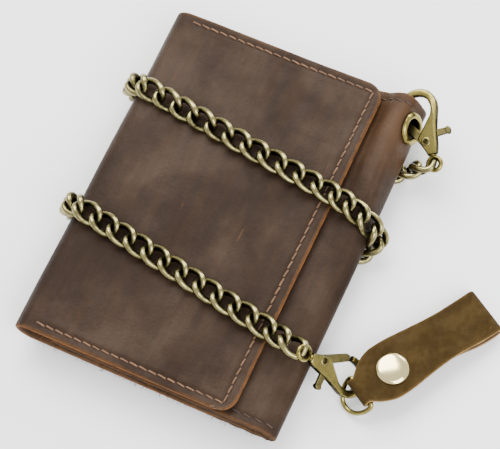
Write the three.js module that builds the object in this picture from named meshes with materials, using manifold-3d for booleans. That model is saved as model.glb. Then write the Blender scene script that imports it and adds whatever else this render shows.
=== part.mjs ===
// A men's trifold leather wallet, closed, with its curb chain wrapped twice round it.
// Millimetres, +Z up. X runs across the wallet from the folded spine at x = 0, Y runs up its long side,
// and z = 0 is the surface that the chain, the belt strap and the wallet lie on.
import * as THREE from "three";
import { mergeVertices } from "three/addons/utils/BufferGeometryUtils.js";
import Module from "manifold-3d";

const wasm = await Module();
wasm.setup();

// ---------------------------------------------------------------- driving dimensions
const HEIGHT = 114; // long side of the wallet
const FLAP_WIDTH = 72; // spine to the free edge of the front flap
const LEATHER = 1.5; // outer leather
const LINING = 0.8; // linings and card pockets
const SHEET_GAP = 0.3; // air between two sheets
const CORNER = 5.5; // rounded corners of the free edges
const CHAIN_THICK = 4.2; // a curb link lying flat
const CHAIN_WIDTH = 7.4;
const CHAIN_GAP = 0.5; // from a chain run to the leather
const TURN_PITCH = 5.1; // chain pitch where it goes round the spine
const EYELET_R = 5.2;
const EYELET_BORE_R = 3.4;
const CLAW_THICK = 2.2;
const STRAP_LEATHER = 1.3;
const RIVET_R = 0.8;

// heights of the sheets, from the surface up
const BASE_Z = 0.1 + CHAIN_THICK + CHAIN_GAP;
const STACK = 10.5;
const TOP_Z = BASE_Z + STACK;
const FLAP_Z = TOP_Z - LEATHER;
const FLAP_LINING_Z = FLAP_Z - SHEET_GAP - LINING;
const INNER_Z = FLAP_LINING_Z - SHEET_GAP - LEATHER;
const INNER_LINING_Z = INNER_Z - SHEET_GAP - LINING;
const UPPER_POCKET_Z = INNER_LINING_Z - SHEET_GAP - LINING;
const LOWER_POCKET_Z = UPPER_POCKET_Z - SHEET_GAP - LINING;
const DIVIDER_Z = BASE_Z + LEATHER + SHEET_GAP;
const DIVIDER = LOWER_POCKET_Z - SHEET_GAP - DIVIDER_Z;

// the spine: the flap turns about the middle of the closed stack
const SPINE_R = STACK / 2;
const HINGE = new THREE.Vector3(SPINE_R, 0, BASE_Z + SPINE_R);
const PANEL_X = SPINE_R + 0.3;
const FOLD_X = 66; // the back and inner panels end here, and the right fold begins

const root = new THREE.Group();

// ---------------------------------------------------------------- materials
function finish(color, roughness, metalness = 0) {
  return new THREE.MeshStandardMaterial({ color, roughness, metalness });
}

const leatherBrown = finish(0x4f3b30, 0.62);
const leatherEdge = finish(0x6b4628, 0.7);
const liningBrown = finish(0x4a3428, 0.75);
const strapBrown = finish(0x66492a, 0.85);
const brass = finish(0x8f8548, 0.35, 0.9);
const darkBrass = finish(0x5c5430, 0.45, 0.9);
const polished = finish(0xe0d7a0, 0.2, 1);

// ---------------------------------------------------------------- helpers
const V = (x, y, z) => new THREE.Vector3(x, y, z);

// Adds one named mesh, optionally in a frame given by a matrix.
function add(name, geometry, material, matrix = null) {
  const mesh = new THREE.Mesh(geometry, material);
  mesh.name = name;
  if (matrix) mesh.applyMatrix4(matrix);
  root.add(mesh);
  return mesh;
}

// The frame whose x, y and z axes are the given directions, at a point.
function frameAt(origin, x, y) {
  const ax = x.clone().normalize();
  const ay = y.clone().addScaledVector(ax, -y.dot(ax)).normalize();
  const az = ax.clone().cross(ay);
  return new THREE.Matrix4().makeBasis(ax, ay, az).setPosition(origin);
}

// A closed three.js geometry as a manifold-3d solid.
function toSolid(geometry) {
  const bare = new THREE.BufferGeometry();
  const source = geometry.index ? geometry.toNonIndexed() : geometry;
  bare.setAttribute("position", source.getAttribute("position").clone());
  const merged = mergeVertices(bare, 1e-4);
  return new wasm.Manifold(
    new wasm.Mesh({
      numProp: 3,
      vertProperties: new Float32Array(merged.attributes.position.array),
      triVerts: new Uint32Array(merged.index.array),
    }),
  );
}

function toGeometry(solid) {
  const mesh = solid.getMesh();
  const geometry = new THREE.BufferGeometry();
  geometry.setAttribute("position", new THREE.BufferAttribute(mesh.vertProperties, 3));
  geometry.setIndex(new THREE.BufferAttribute(mesh.triVerts, 1));
  const flat = geometry.toNonIndexed();
  flat.computeVertexNormals();
  return flat;
}

function cut(geometry, ...tools) {
  return toGeometry(tools.reduce((s, t) => s.subtract(toSolid(t)), toSolid(geometry)));
}

function join(...geometries) {
  return toGeometry(geometries.map(toSolid).reduce((a, b) => a.add(b)));
}

// A flat sheet: a shape in the XY plane given a thickness from height z.
function sheet(shape, z, thickness, curveSegments = 5) {
  const options = { depth: thickness, bevelEnabled: false, curveSegments };
  return new THREE.ExtrudeGeometry(shape, options).translate(0, 0, z);
}

// A rectangle whose corners have their own radii: [low x low y, high x low y, high x high y, low x high y].
function roundedRect(x0, y0, x1, y1, radii) {
  const [a, b, c, d] = radii;
  const s = new THREE.Shape();
  s.moveTo(x0 + a, y0);
  s.lineTo(x1 - b, y0);
  if (b) s.absarc(x1 - b, y0 + b, b, -Math.PI / 2, 0);
  s.lineTo(x1, y1 - c);
  if (c) s.absarc(x1 - c, y1 - c, c, 0, Math.PI / 2);
  s.lineTo(x0 + d, y1);
  if (d) s.absarc(x0 + d, y1 - d, d, Math.PI / 2, Math.PI);
  s.lineTo(x0, y0 + a);
  if (a) s.absarc(x0 + a, y0 + a, a, Math.PI, Math.PI * 1.5);
  return s;
}

// A solid through closed sections of equal point count, with flat ends.
function loft(sections) {
  const n = sections[0].length;
  const positions = sections.flat().flatMap((p) => [p.x, p.y, p.z]);
  const index = [];
  for (let s = 0; s + 1 < sections.length; s++) {
    for (let i = 0; i < n; i++) {
      const j = (i + 1) % n;
      const [a, b] = [s * n + i, s * n + j];
      index.push(a, b, b + n, a, b + n, a + n);
    }
  }
  const outline = sections[0].map((p) => new THREE.Vector2(p.x, p.z));
  const last = (sections.length - 1) * n;
  const turn = Math.sign(THREE.ShapeUtils.area(outline));
  for (const [a, p, q] of THREE.ShapeUtils.triangulateShape(outline, [])) {
    const corner = THREE.ShapeUtils.area([outline[a], outline[p], outline[q]]);
    const [b, c] = Math.sign(corner) === turn ? [p, q] : [q, p];
    index.push(a, c, b, last + a, last + b, last + c);
  }
  const geometry = new THREE.BufferGeometry();
  geometry.setAttribute("position", new THREE.Float32BufferAttribute(positions, 3));
  geometry.setIndex(index);
  if (new wasm.Manifold(meshOf(geometry)).volume() < 0) {
    for (let i = 0; i < index.length; i += 3) [index[i + 1], index[i + 2]] = [index[i + 2], index[i + 1]];
    geometry.setIndex(index);
  }
  const flat = geometry.toNonIndexed();
  flat.computeVertexNormals();
  return flat;
}

function meshOf(geometry) {
  return new wasm.Mesh({
    numProp: 3,
    vertProperties: new Float32Array(geometry.attributes.position.array),
    triVerts: new Uint32Array(geometry.index.array),
  });
}

// A round wire bent into a closed loop through a curve.
function wireLoop(curve, radius, steps, sides) {
  const frames = curve.computeFrenetFrames(steps, true);
  const positions = [];
  const index = [];
  for (let i = 0; i < steps; i++) {
    const p = curve.getPointAt(i / steps);
    for (let k = 0; k < sides; k++) {
      const angle = (2 * Math.PI * k) / sides;
      const q = p
        .clone()
        .addScaledVector(frames.normals[i], radius * Math.cos(angle))
        .addScaledVector(frames.binormals[i], radius * Math.sin(angle));
      positions.push(q.x, q.y, q.z);
      const [i2, k2] = [(i + 1) % steps, (k + 1) % sides];
      const [a, b, c, d] = [i * sides + k, i * sides + k2, i2 * sides + k2, i2 * sides + k];
      index.push(a, b, c, a, c, d);
    }
  }
  const geometry = new THREE.BufferGeometry();
  geometry.setAttribute("position", new THREE.Float32BufferAttribute(positions, 3));
  geometry.setIndex(index);
  if (new wasm.Manifold(meshOf(geometry)).volume() < 0) {
    for (let i = 0; i < index.length; i += 3) [index[i + 1], index[i + 2]] = [index[i + 2], index[i + 1]];
    geometry.setIndex(index);
  }
  return geometry.toNonIndexed();
}

// Moves a line of (x, z) points sideways by a distance, to its right.
function offsetLine(points, distance) {
  return points.map((p, i) => {
    const a = points[Math.max(i - 1, 0)];
    const b = points[Math.min(i + 1, points.length - 1)];
    const d = new THREE.Vector2(b[0] - a[0], b[1] - a[1]).normalize();
    return [p[0] + d.y * distance, p[1] - d.x * distance];
  });
}

// ---------------------------------------------------------------- leather of the wallet
function backPanel() {
  const shape = roundedRect(PANEL_X, 0, FOLD_X - SHEET_GAP, HEIGHT, [0, 0, 0, 0]);
  add("outer_leather_back", sheet(shape, BASE_Z, LEATHER), leatherBrown);
}

function innerPanel() {
  const shape = roundedRect(13, 0, FOLD_X - SHEET_GAP, HEIGHT, [CORNER, 0, 0, CORNER]);
  add("outer_leather_inner_panel", sheet(shape, INNER_Z, LEATHER), leatherBrown);
  const lining = roundedRect(14, 1, FOLD_X - 1, HEIGHT - 1, [CORNER, 0, 0, CORNER]);
  add("inner_panel_lining", sheet(lining, INNER_LINING_Z, LINING), liningBrown);
}

// The right fold, where the leather rolls from the inner panel round to the back. It is low at the
// bottom end and stands up in a fuller roll at the top end, where the eyelet's flat is.
const LOW_FOLD = [
  [66, 12.4], [72.8, 12.4], [76, 12.4], [79, 12.4], [81.5, 12.3], [83.6, 11.8], [85.2, 10.8],
  [86.2, 9.4], [86.4, 7.9], [85.6, 6.2], [83.9, 5.1], [81, 4.8], [74, 4.8], [66, 4.8],
];
const HIGH_FOLD = [
  [66, 12.4], [72.9, 12.5], [74.5, 15.2], [76.6, 17.1], [79, 17.7], [81.3, 17.4], [82.5, 15.9],
  [84.1, 12.7], [85.7, 9.5], [85.8, 7.4], [84.3, 5.4], [81, 4.8], [74, 4.8], [66, 4.8],
];
const EYELET = { x: 84.05, y: 105.6, z: 12.8, tilt: new THREE.Vector3(0.894, 0, 0.447) };

function foldLine(y) {
  const t = THREE.MathUtils.smoothstep(y, 52, 102);
  return LOW_FOLD.map((p, i) => [
    p[0] + (HIGH_FOLD[i][0] - p[0]) * t,
    p[1] + (HIGH_FOLD[i][1] - p[1]) * t + BASE_Z - 4.8,
  ]);
}

function rightFold() {
  const stations = [0, 20, 40, 52, 62, 70, 78, 86, 94, 102, 108, HEIGHT];
  const sections = stations.map((y) => {
    const outer = foldLine(y);
    const inner = offsetLine(outer, LEATHER).reverse();
    return [...outer, ...inner].map(([x, z]) => V(x, y, z));
  });
  const hole = new THREE.CylinderGeometry(EYELET_BORE_R + 0.6, EYELET_BORE_R + 0.6, 8, 20);
  const turn = new THREE.Quaternion().setFromUnitVectors(V(0, 1, 0), EYELET.tilt);
  hole.applyQuaternion(turn).translate(EYELET.x, EYELET.y, EYELET.z);
  add("outer_leather_right_fold", cut(loft(sections), hole), leatherBrown);
}

// The spine: half a tube of leather from the back panel round to the flap.
function spine() {
  const s = new THREE.Shape();
  s.absarc(0, 0, SPINE_R, Math.PI / 2, Math.PI * 1.5);
  s.absarc(0, 0, SPINE_R - LEATHER, Math.PI * 1.5, Math.PI / 2, true);
  const half = new THREE.ExtrudeGeometry(s, { depth: HEIGHT, bevelEnabled: false, curveSegments: 12 });
  half.rotateX(Math.PI / 2).translate(HINGE.x, HEIGHT, HINGE.z);
  add("outer_leather_spine", half, leatherBrown);
}

function flap() {
  const shape = roundedRect(PANEL_X, 0, FLAP_WIDTH, HEIGHT, [0, CORNER, CORNER, 0]);
  add("outer_leather_flap", sheet(shape, FLAP_Z, LEATHER), leatherBrown);
  const lining = roundedRect(PANEL_X + 1, 0.3, FLAP_WIDTH - 0.3, HEIGHT - 0.3, [0, CORNER, CORNER, 0]);
  add("flap_lining", sheet(lining, FLAP_LINING_Z, LINING), liningBrown);
}

function pockets() {
  const divider = roundedRect(8, 1, 78, HEIGHT - 6, [0, 3, 3, 0]);
  add("bill_divider", sheet(divider, DIVIDER_Z, DIVIDER), liningBrown);
  const lower = roundedRect(8.5, 1.5, 76, HEIGHT - 12, [0, 0, 0, 0]);
  add("card_pocket_rear", sheet(lower, LOWER_POCKET_Z, LINING), liningBrown);
  const upper = roundedRect(9, 2, 74, HEIGHT - 26, [0, 0, 0, 0]);
  add("card_pocket_front", sheet(upper, UPPER_POCKET_Z, LINING), liningBrown);
}

// A flanged brass eyelet through the right fold, and its washer inside the roll.
function eyelet() {
  const place = new THREE.Matrix4().makeRotationFromQuaternion(
    new THREE.Quaternion().setFromUnitVectors(V(0, 1, 0), EYELET.tilt),
  );
  place.setPosition(EYELET.x, EYELET.y, EYELET.z);
  const r = EYELET_BORE_R;
  const front = [[r, -2.6], [r + 0.3, -2.6], [r + 0.3, 0.35], [EYELET_R, 0.35], [EYELET_R, 0.6],
    [EYELET_R - 0.5, 1.0], [r + 0.4, 1.0], [r, 0.7], [r, -2.6]];
  const ring = (points) => new THREE.LatheGeometry(points.map((p) => new THREE.Vector2(...p)), 28);
  add("eyelet_front", ring(front), brass, place);
  const back = [[r + 0.6, -2.5], [r + 1.2, -2.5], [r + 1.2, -2.0], [r + 0.6, -2.0], [r + 0.6, -2.5]];
  add("eyelet_washer", ring(back), darkBrass, place);
}

// ---------------------------------------------------------------- chain
// A straight run of curb links as one plain bar, flat side along the given up direction.
function chainRun(name, from, to, up = V(0, 0, 1)) {
  const along = to.clone().sub(from);
  const length = along.length();
  const [w, t, c] = [CHAIN_WIDTH / 2, CHAIN_THICK / 2, 1.2];
  const s = new THREE.Shape();
  s.moveTo(-w + c, -t).lineTo(w - c, -t).lineTo(w, -t + c).lineTo(w, t - c);
  s.lineTo(w - c, t).lineTo(-w + c, t).lineTo(-w, t - c).lineTo(-w, -t + c);
  const bar = new THREE.ExtrudeGeometry(s, { depth: length, bevelEnabled: false });
  const side = up.clone().cross(along);
  const place = frameAt(from, side, up);
  const z = V(0, 0, 0).setFromMatrixColumn(place, 2);
  if (z.dot(along) < 0) throw new Error("chain run points the wrong way");
  add(name, bar, darkBrass, place);
}

// One link as a flat stadium ring.
function link(name, from, to, side, length, width = CHAIN_WIDTH, wire = 1.9) {
  const along = to.clone().sub(from);
  const middle = from.clone().add(to).multiplyScalar(0.5);
  const stadium = (l, w) => {
    const [h, r] = [(l - w) / 2, w / 2];
    const s = new THREE.Shape();
    if (h > 0) {
      s.absarc(h, 0, r, -Math.PI / 2, Math.PI / 2);
      s.absarc(-h, 0, r, Math.PI / 2, Math.PI * 1.5);
    } else {
      s.absellipse(0, 0, l / 2, r, 0, Math.PI * 2);
    }
    return s;
  };
  const shape = stadium(length, width);
  shape.holes.push(stadium(length - 2 * wire, width - 2 * wire));
  const ring = new THREE.ExtrudeGeometry(shape, { depth: wire, bevelEnabled: false, curveSegments: 6 });
  ring.translate(0, 0, -wire / 2);
  add(name, ring, darkBrass, frameAt(middle, along, side));
}

const LOW_Z = 0.1 + CHAIN_THICK / 2;
const HIGH_Z = 2 * HINGE.z - LOW_Z;
const TURN_X = 2.8; // where the chain leaves the straight to go round the spine

// The five joints of a turn round the spine: equal steps of 36 degrees, climbing from y0 to y1.
function turnJoints(y0, y1) {
  const joints = [V(TURN_X, y0, LOW_Z)];
  for (let k = 1; k <= 4; k++) {
    const angle = Math.PI - (k * Math.PI) / 5;
    const last = joints[k - 1];
    joints.push(V(
      last.x + TURN_PITCH * Math.cos(angle),
      y0 + ((y1 - y0) * k) / 4,
      last.z + TURN_PITCH * Math.sin(angle),
    ));
  }
  return joints;
}

const UPPER_TURN = turnJoints(87.0, 84.3);
const LOWER_TURN = turnJoints(43.2, 40.2);

function turnLinks(prefix, joints) {
  for (let k = 0; k < 4; k++) {
    link(`${prefix}_${k + 1}`, joints[k], joints[k + 1], V(0, 1, 0), 3.9, CHAIN_WIDTH, 1.3);
  }
}

// the end of a run stops short of its joint
function short(from, to, a, b) {
  const d = to.clone().sub(from).normalize();
  return [from.clone().addScaledVector(d, a), to.clone().addScaledVector(d, -b)];
}

const UPPER_EDGE = [V(72.5, 74.2, HIGH_Z), V(77.6, 73.3, 17.2), V(82.6, 72.0, 15.4), V(87.2, 70.6, 12.0),
  V(89.0, 69.0, 7.2), V(86.2, 66.6, 2.8), V(80.8, 64.0, LOW_Z)];
const LOWER_EDGE = [V(72.5, 27.6, HIGH_Z), V(77.4, 26.7, 18.2), V(82.0, 25.7, 18.6)];
const LEAD = [V(92.2, 97.4, 8.9), V(88.4, 96.0, 5.7), V(84.4, 94.4, LOW_Z + 0.4), V(79, 93.6, LOW_Z)];

function chain() {
  chainRun("chain_run_under_upper", ...short(LEAD[3], UPPER_TURN[0], 0, 1.2));
  turnLinks("chain_turn_upper", UPPER_TURN);
  chainRun("chain_run_front_upper", ...short(UPPER_TURN[4], UPPER_EDGE[0], 1.2, 0.4));
  for (let k = 0; k < 6; k++) {
    const side = k === 3 || k === 4 ? V(-0.35, 1, 0) : V(0, 1, 0);
    link(`chain_edge_link_${k + 1}`, UPPER_EDGE[k], UPPER_EDGE[k + 1], side, 4.1, 6.6, 1.5);
  }
  chainRun("chain_run_under_lower", ...short(UPPER_EDGE[6], LOWER_TURN[0], 0.4, 1.2));
  turnLinks("chain_turn_lower", LOWER_TURN);
  chainRun("chain_run_front_lower", ...short(LOWER_TURN[4], LOWER_EDGE[0], 1.2, 0.4));
  for (let k = 0; k < 2; k++) {
    link(`chain_tail_link_${k + 1}`, LOWER_EDGE[k], LOWER_EDGE[k + 1], V(0, 1, 0), 4.2, 6.6, 1.6);
  }
  for (let k = 0; k < 3; k++) {
    link(`chain_lead_link_${k + 1}`, LEAD[k], LEAD[k + 1], V(0.3, 1, 0), 4.1, 6.0, 1.6);
  }
}

// ---------------------------------------------------------------- swivel trigger clasp
// In the clasp's own frame x runs from the ring's centre to the top of the hook, and +y is the gate's side.
const RING_R = 2.0;
const RING_WIRE_R = 0.75;
const PIVOT = [7.3, 1.3];
const CLAW_OUTER = [[2.9, -1.5], [5, -2.1], [10.8, -2.8], [14, -3.5], [17.6, -4.3], [20.4, -4.0],
  [22.8, -2.6], [24.2, -0.4], [24.5, 1.8], [24.1, 4.2], [22.9, 6.2], [21.1, 7.5], [18.8, 8.1], [16.4, 8.0]];
const CLAW_INNER = [[16.3, 6.2], [18.6, 6.1], [20.5, 5.5], [21.8, 4.0], [22.2, 1.8], [21.6, -0.2],
  [20.2, -1.5], [17.8, -2.0], [15.6, -1.5], [8.9, 3.7], [7.0, 3.2], [4.4, 2.0], [2.9, 1.5]];
const GATE = [[5.5, 0.6], [6.4, -0.5], [8.2, -0.6], [8.4, -6.2], [10.4, -6.4], [10.5, -1.2], [9.6, 1.6],
  [15.9, 5.9], [15.4, 7.6], [13.9, 7.5], [6.6, 3.0]];

function outline(points) {
  return new THREE.Shape(points.map((p) => new THREE.Vector2(...p)));
}

function slab(points, thickness) {
  return sheet(outline(points), -thickness / 2, thickness);
}

function pin(radius, length, x, y, sides = 14) {
  return new THREE.CylinderGeometry(radius, radius, length, sides).rotateX(Math.PI / 2).translate(x, y, 0);
}

// Builds the six pieces of a clasp in a frame.
function clasp(prefix, place) {
  const circle = new THREE.EllipseCurve(0, 0, RING_R, RING_R, 0, Math.PI * 2);
  const path = new THREE.CatmullRomCurve3(
    circle.getPoints(16).slice(0, 16).map((p) => V(p.x, p.y, 0)), true);
  const stem = new THREE.CylinderGeometry(0.45, 0.45, 2.8, 8).rotateZ(Math.PI / 2).translate(3.4, 0, 0);
  add(`${prefix}_ring`, join(wireLoop(path, RING_WIRE_R, 20, 8), stem), brass, place);

  const stemBore = new THREE.CylinderGeometry(0.75, 0.75, 3.2, 10);
  stemBore.rotateZ(Math.PI / 2).translate(3.8, 0, 0);
  const slot = new THREE.BoxGeometry(8.4, 16, 1.1).translate(9.6, 0, 0);
  const rivetBore = pin(RIVET_R + 0.3, 4, ...PIVOT);
  const claw = cut(slab([...CLAW_OUTER, ...CLAW_INNER], CLAW_THICK), stemBore, slot, rivetBore);
  add(`${prefix}_hook`, claw, brass, place);

  const spring = new THREE.CylinderGeometry(0.3, 0.3, 2.1, 8).rotateZ(Math.PI / 2).translate(6.8, -1.55, 0);
  add(`${prefix}_spring`, spring, darkBrass, place);
  add(`${prefix}_gate`, cut(slab(GATE, 0.5), pin(RIVET_R + 0.3, 2, ...PIVOT)), darkBrass, place);
  add(`${prefix}_rivet`, pin(RIVET_R, CLAW_THICK + 0.2, ...PIVOT), darkBrass, place);
}

const CLASP_A_X = V(-0.54, 0.83, 0.12);
const CLASP_A_Y = V(-0.815, -0.484, -0.320);
const claspA = frameAt(V(0, 0, 0), CLASP_A_X, CLASP_A_Y);
claspA.setPosition(V(12.4, 5.0, 1.0).applyMatrix4(claspA).multiplyScalar(-1)
  .add(V(EYELET.x, EYELET.y, EYELET.z)));
const CLASP_B_ORIGIN = V(84.6, 25.1, 18.8);
const claspB = frameAt(CLASP_B_ORIGIN, V(1, 0, -1), V(0, 1, 0));

// ---------------------------------------------------------------- D-ring and belt strap
const BAR_MIDDLE = V(103, 24.45, 6.4);
const STRAP_X = V(0.514, 0.857, -0.083);
const STRAP_Y = V(-0.857, 0.514, 0);
const RING_TILT = THREE.MathUtils.degToRad(41);
const RING_WIDTH = 10.8;
const RING_DEPTH = 7.8;
const D_WIRE_R = 0.7;

function dRing() {
  const across = STRAP_Y.clone().normalize();
  const down = V(-0.514, -0.857, 0).normalize().multiplyScalar(Math.cos(RING_TILT));
  down.z = -Math.sin(RING_TILT);
  const points = [];
  for (let k = 0; k <= 10; k++) {
    const angle = (Math.PI * k) / 10;
    points.push(BAR_MIDDLE.clone()
      .addScaledVector(across, (RING_WIDTH / 2) * Math.cos(angle))
      .addScaledVector(down, 0.9 + (RING_DEPTH - 0.9) * Math.sin(angle)));
  }
  for (const t of [-0.84, -0.3, 0.3, 0.84]) {
    points.push(BAR_MIDDLE.clone().addScaledVector(across, (t * RING_WIDTH) / 2));
  }
  add("d_ring", wireLoop(new THREE.CatmullRomCurve3(points, true), D_WIRE_R, 40, 8), brass);
}

// The strap's outline in its own frame: x along it from the D-ring's bar, y across it. The leather
// under the top leg is cut back at the shoulders by a waist, to clear the hook.
function strapShape(from, to, waist = 0) {
  const half = (x) => {
    const run = THREE.MathUtils.clamp((x - waist) / (9 - waist), 0, 1);
    const shoulder = Math.sin((run * Math.PI) / 2);
    if (x < 9) return THREE.MathUtils.lerp(4.1, 8.6, shoulder ** (1 + waist / 9));
    if (x < 20) return THREE.MathUtils.lerp(8.6, 7.9, (x - 9) / 11);
    return THREE.MathUtils.lerp(7.9, 7.2, (x - 20) / 26);
  };
  const stations = [-1.2, 0, 1.5, 3, 5, 7, 9, 14, 20, 33, 46].filter((x) => x > from && x < to);
  const xs = [from, ...stations, to];
  const low = xs.map((x) => new THREE.Vector2(x, -half(x)));
  const high = xs.map((x) => new THREE.Vector2(x, half(x))).reverse();
  return new THREE.Shape([...low, ...high]);
}

const STRAP_FOLD_X = 43.6; // where the two legs meet the far fold
const STRAP_FOLD_R = 2.45; // outer radius of the far fold
const SNAP_X = 11;
const strapPlace = frameAt(BAR_MIDDLE, STRAP_X, STRAP_Y);

function strap() {
  // lower leg, which comes free when the snap is open
  const low = -STRAP_FOLD_R;
  const leg = sheet(strapShape(3.4, STRAP_FOLD_X, 5), low, STRAP_LEATHER);
  add("belt_strap_lower_leg", cut(leg, pin(1.3, 20, SNAP_X, 0)), strapBrown, strapPlace);

  // neck round the bar, with the tab inside and the upper leg above it
  const wrap = new THREE.Shape();
  wrap.absarc(0, 0, 2.15, Math.PI / 2, Math.PI * 1.5);
  wrap.lineTo(2.0, -2.15);
  wrap.lineTo(2.0, -2.15 + 1.1);
  wrap.absarc(0, 0, 1.05, Math.PI * 1.5, Math.PI / 2, true);
  wrap.lineTo(2.0, 1.05);
  wrap.lineTo(2.0, 2.15);
  const neck = new THREE.ExtrudeGeometry(wrap, { depth: 8, bevelEnabled: false, curveSegments: 8 });
  neck.rotateX(Math.PI / 2).translate(0, 4, 0);
  add("belt_strap_neck", neck, strapBrown, strapPlace);
  add("belt_strap_tab", sheet(strapShape(2.3, 8.0, 3.5), -0.75, 1.5), strapBrown, strapPlace);

  const top = sheet(strapShape(2.3, STRAP_FOLD_X), STRAP_FOLD_R - STRAP_LEATHER, STRAP_LEATHER);
  add("belt_strap_upper_leg", cut(top, pin(1.3, 20, SNAP_X, 0)), strapBrown, strapPlace);

  const bend = new THREE.Shape();
  bend.absarc(0, 0, STRAP_FOLD_R, -Math.PI / 2, Math.PI / 2);
  bend.absarc(0, 0, STRAP_FOLD_R - STRAP_LEATHER, Math.PI / 2, -Math.PI / 2, true);
  const fold = new THREE.ExtrudeGeometry(bend, { depth: 14.4, bevelEnabled: false, curveSegments: 8 });
  fold.rotateX(Math.PI / 2).translate(STRAP_FOLD_X + 0.3, 7.2, 0);
  add("belt_strap_fold", fold, strapBrown, strapPlace);

  // snap: cap and socket on the upper leg, stud and its rivet on the lower leg
  const turned = (points, sides = 24) =>
    new THREE.LatheGeometry(points.map((p) => new THREE.Vector2(...p)), sides)
      .rotateX(Math.PI / 2).translate(SNAP_X, 0, 0);
  const topZ = STRAP_FOLD_R;
  add("snap_cap", turned([[0, topZ + 0.2], [4.7, topZ + 0.2], [4.7, topZ + 0.6], [3.9, topZ + 1.1],
    [2.2, topZ + 1.4], [0, topZ + 1.5]]), polished, strapPlace);
  add("snap_socket", turned([[1.5, 0.35], [2.0, 0.1], [2.6, 0.1], [2.6, 0.9], [1.5, 0.9], [1.5, 0.35]]),
    darkBrass, strapPlace);
  add("snap_stud", turned([[0, -1.1], [1.9, -1.1], [1.9, -0.8], [1.1, -0.6], [1.15, 0.2], [0, 0.4]], 18),
    darkBrass, strapPlace);
  add("snap_stud_rivet", turned([[0, low - 0.35], [2.6, low - 0.35], [2.6, low - 0.15], [1.0, low - 0.15],
    [1.0, -1.25], [0, -1.25]], 18), darkBrass, strapPlace);
}

backPanel();
innerPanel();
rightFold();
spine();
flap();
pockets();
eyelet();
chain();
clasp("clasp_a", claspA);
clasp("clasp_b", claspB);
dRing();
strap();

// the origin: the middle of the whole object's box, on the surface it lies on
const box = new THREE.Box3().setFromObject(root, true);
root.position.set(-(box.min.x + box.max.x) / 2, -(box.min.y + box.max.y) / 2, -box.min.z);

export default root;
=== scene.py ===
import itertools
import logging
import math
import random
from dataclasses import dataclass, field
from enum import Enum
from typing import Callable, Sequence

import bpy
import numpy as np
from mathutils import Matrix, Vector


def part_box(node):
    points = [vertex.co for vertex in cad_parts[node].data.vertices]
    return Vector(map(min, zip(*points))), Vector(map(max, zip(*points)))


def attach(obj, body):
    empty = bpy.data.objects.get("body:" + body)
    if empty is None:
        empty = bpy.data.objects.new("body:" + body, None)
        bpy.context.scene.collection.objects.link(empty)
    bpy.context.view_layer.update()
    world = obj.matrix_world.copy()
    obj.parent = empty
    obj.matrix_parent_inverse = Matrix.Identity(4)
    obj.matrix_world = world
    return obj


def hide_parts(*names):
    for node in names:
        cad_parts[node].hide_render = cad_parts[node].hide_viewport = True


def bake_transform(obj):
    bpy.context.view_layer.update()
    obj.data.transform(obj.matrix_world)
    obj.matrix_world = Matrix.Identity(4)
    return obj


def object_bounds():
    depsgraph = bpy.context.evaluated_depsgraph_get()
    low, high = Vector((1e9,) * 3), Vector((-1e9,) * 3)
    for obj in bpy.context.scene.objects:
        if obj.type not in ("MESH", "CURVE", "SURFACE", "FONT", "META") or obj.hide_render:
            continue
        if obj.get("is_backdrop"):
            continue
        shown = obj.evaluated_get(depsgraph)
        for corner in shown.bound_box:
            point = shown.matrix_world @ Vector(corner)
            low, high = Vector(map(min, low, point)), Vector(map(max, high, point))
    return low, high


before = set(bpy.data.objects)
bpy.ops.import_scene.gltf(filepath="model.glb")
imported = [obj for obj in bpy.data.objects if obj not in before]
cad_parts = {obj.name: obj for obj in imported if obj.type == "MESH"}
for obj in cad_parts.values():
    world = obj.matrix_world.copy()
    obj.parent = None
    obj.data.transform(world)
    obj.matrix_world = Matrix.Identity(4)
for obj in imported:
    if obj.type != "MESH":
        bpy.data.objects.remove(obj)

LOG = logging.getLogger("chain_wallet")
MM = 0.001
CAD_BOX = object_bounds()
SURFACE_GAP = 4.8  # the wallet lies this far above the surface, on its chain
SEED = 20


# ---------------------------------------------------------------- the wallet's own millimetres
def wallet_origin() -> np.ndarray:
    """Finds the wallet's own zero point in the row frame.

    Returns:
        The point on the resting surface below the lower end of the spine, in metres.
    """
    low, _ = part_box("outer_leather_spine")
    return np.array([low.x, low.y, low.z - SURFACE_GAP * MM])


ORIGIN = wallet_origin()


def to_row(points: np.ndarray) -> np.ndarray:
    """Moves points from wallet millimetres to the row frame in metres."""
    return np.asarray(points, float) * MM + ORIGIN


def node_box(name: str) -> tuple[np.ndarray, np.ndarray]:
    """Gives a CAD node's lowest and highest corners in wallet millimetres."""
    low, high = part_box(name)
    return (np.array(low) - ORIGIN) / MM, (np.array(high) - ORIGIN) / MM


def unit(v: np.ndarray) -> np.ndarray:
    """Scales vectors to length one along their last axis."""
    v = np.asarray(v, float)
    return v / np.maximum(np.linalg.norm(v, axis=-1, keepdims=True), 1e-12)


def smoothstep(x: float, low: float, high: float) -> float:
    """Rises smoothly from 0 at low to 1 at high."""
    t = min(max((x - low) / (high - low), 0.0), 1.0)
    return t * t * (3 - 2 * t)


def spread(marks: Sequence[float], steps: Sequence[float]) -> np.ndarray:
    """Fills the stretches between marks with even steps of about the given lengths.

    Args:
        marks: Values to hit exactly, rising.
        steps: The step length for each stretch, one fewer than marks.

    Returns:
        All the values, marks included.
    """
    values = [marks[0]]
    for a, b, step in zip(marks, marks[1:], steps):
        count = max(1, round((b - a) / step))
        values.extend(a + (b - a) * k / count for k in range(1, count + 1))
    return np.array(values)


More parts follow.
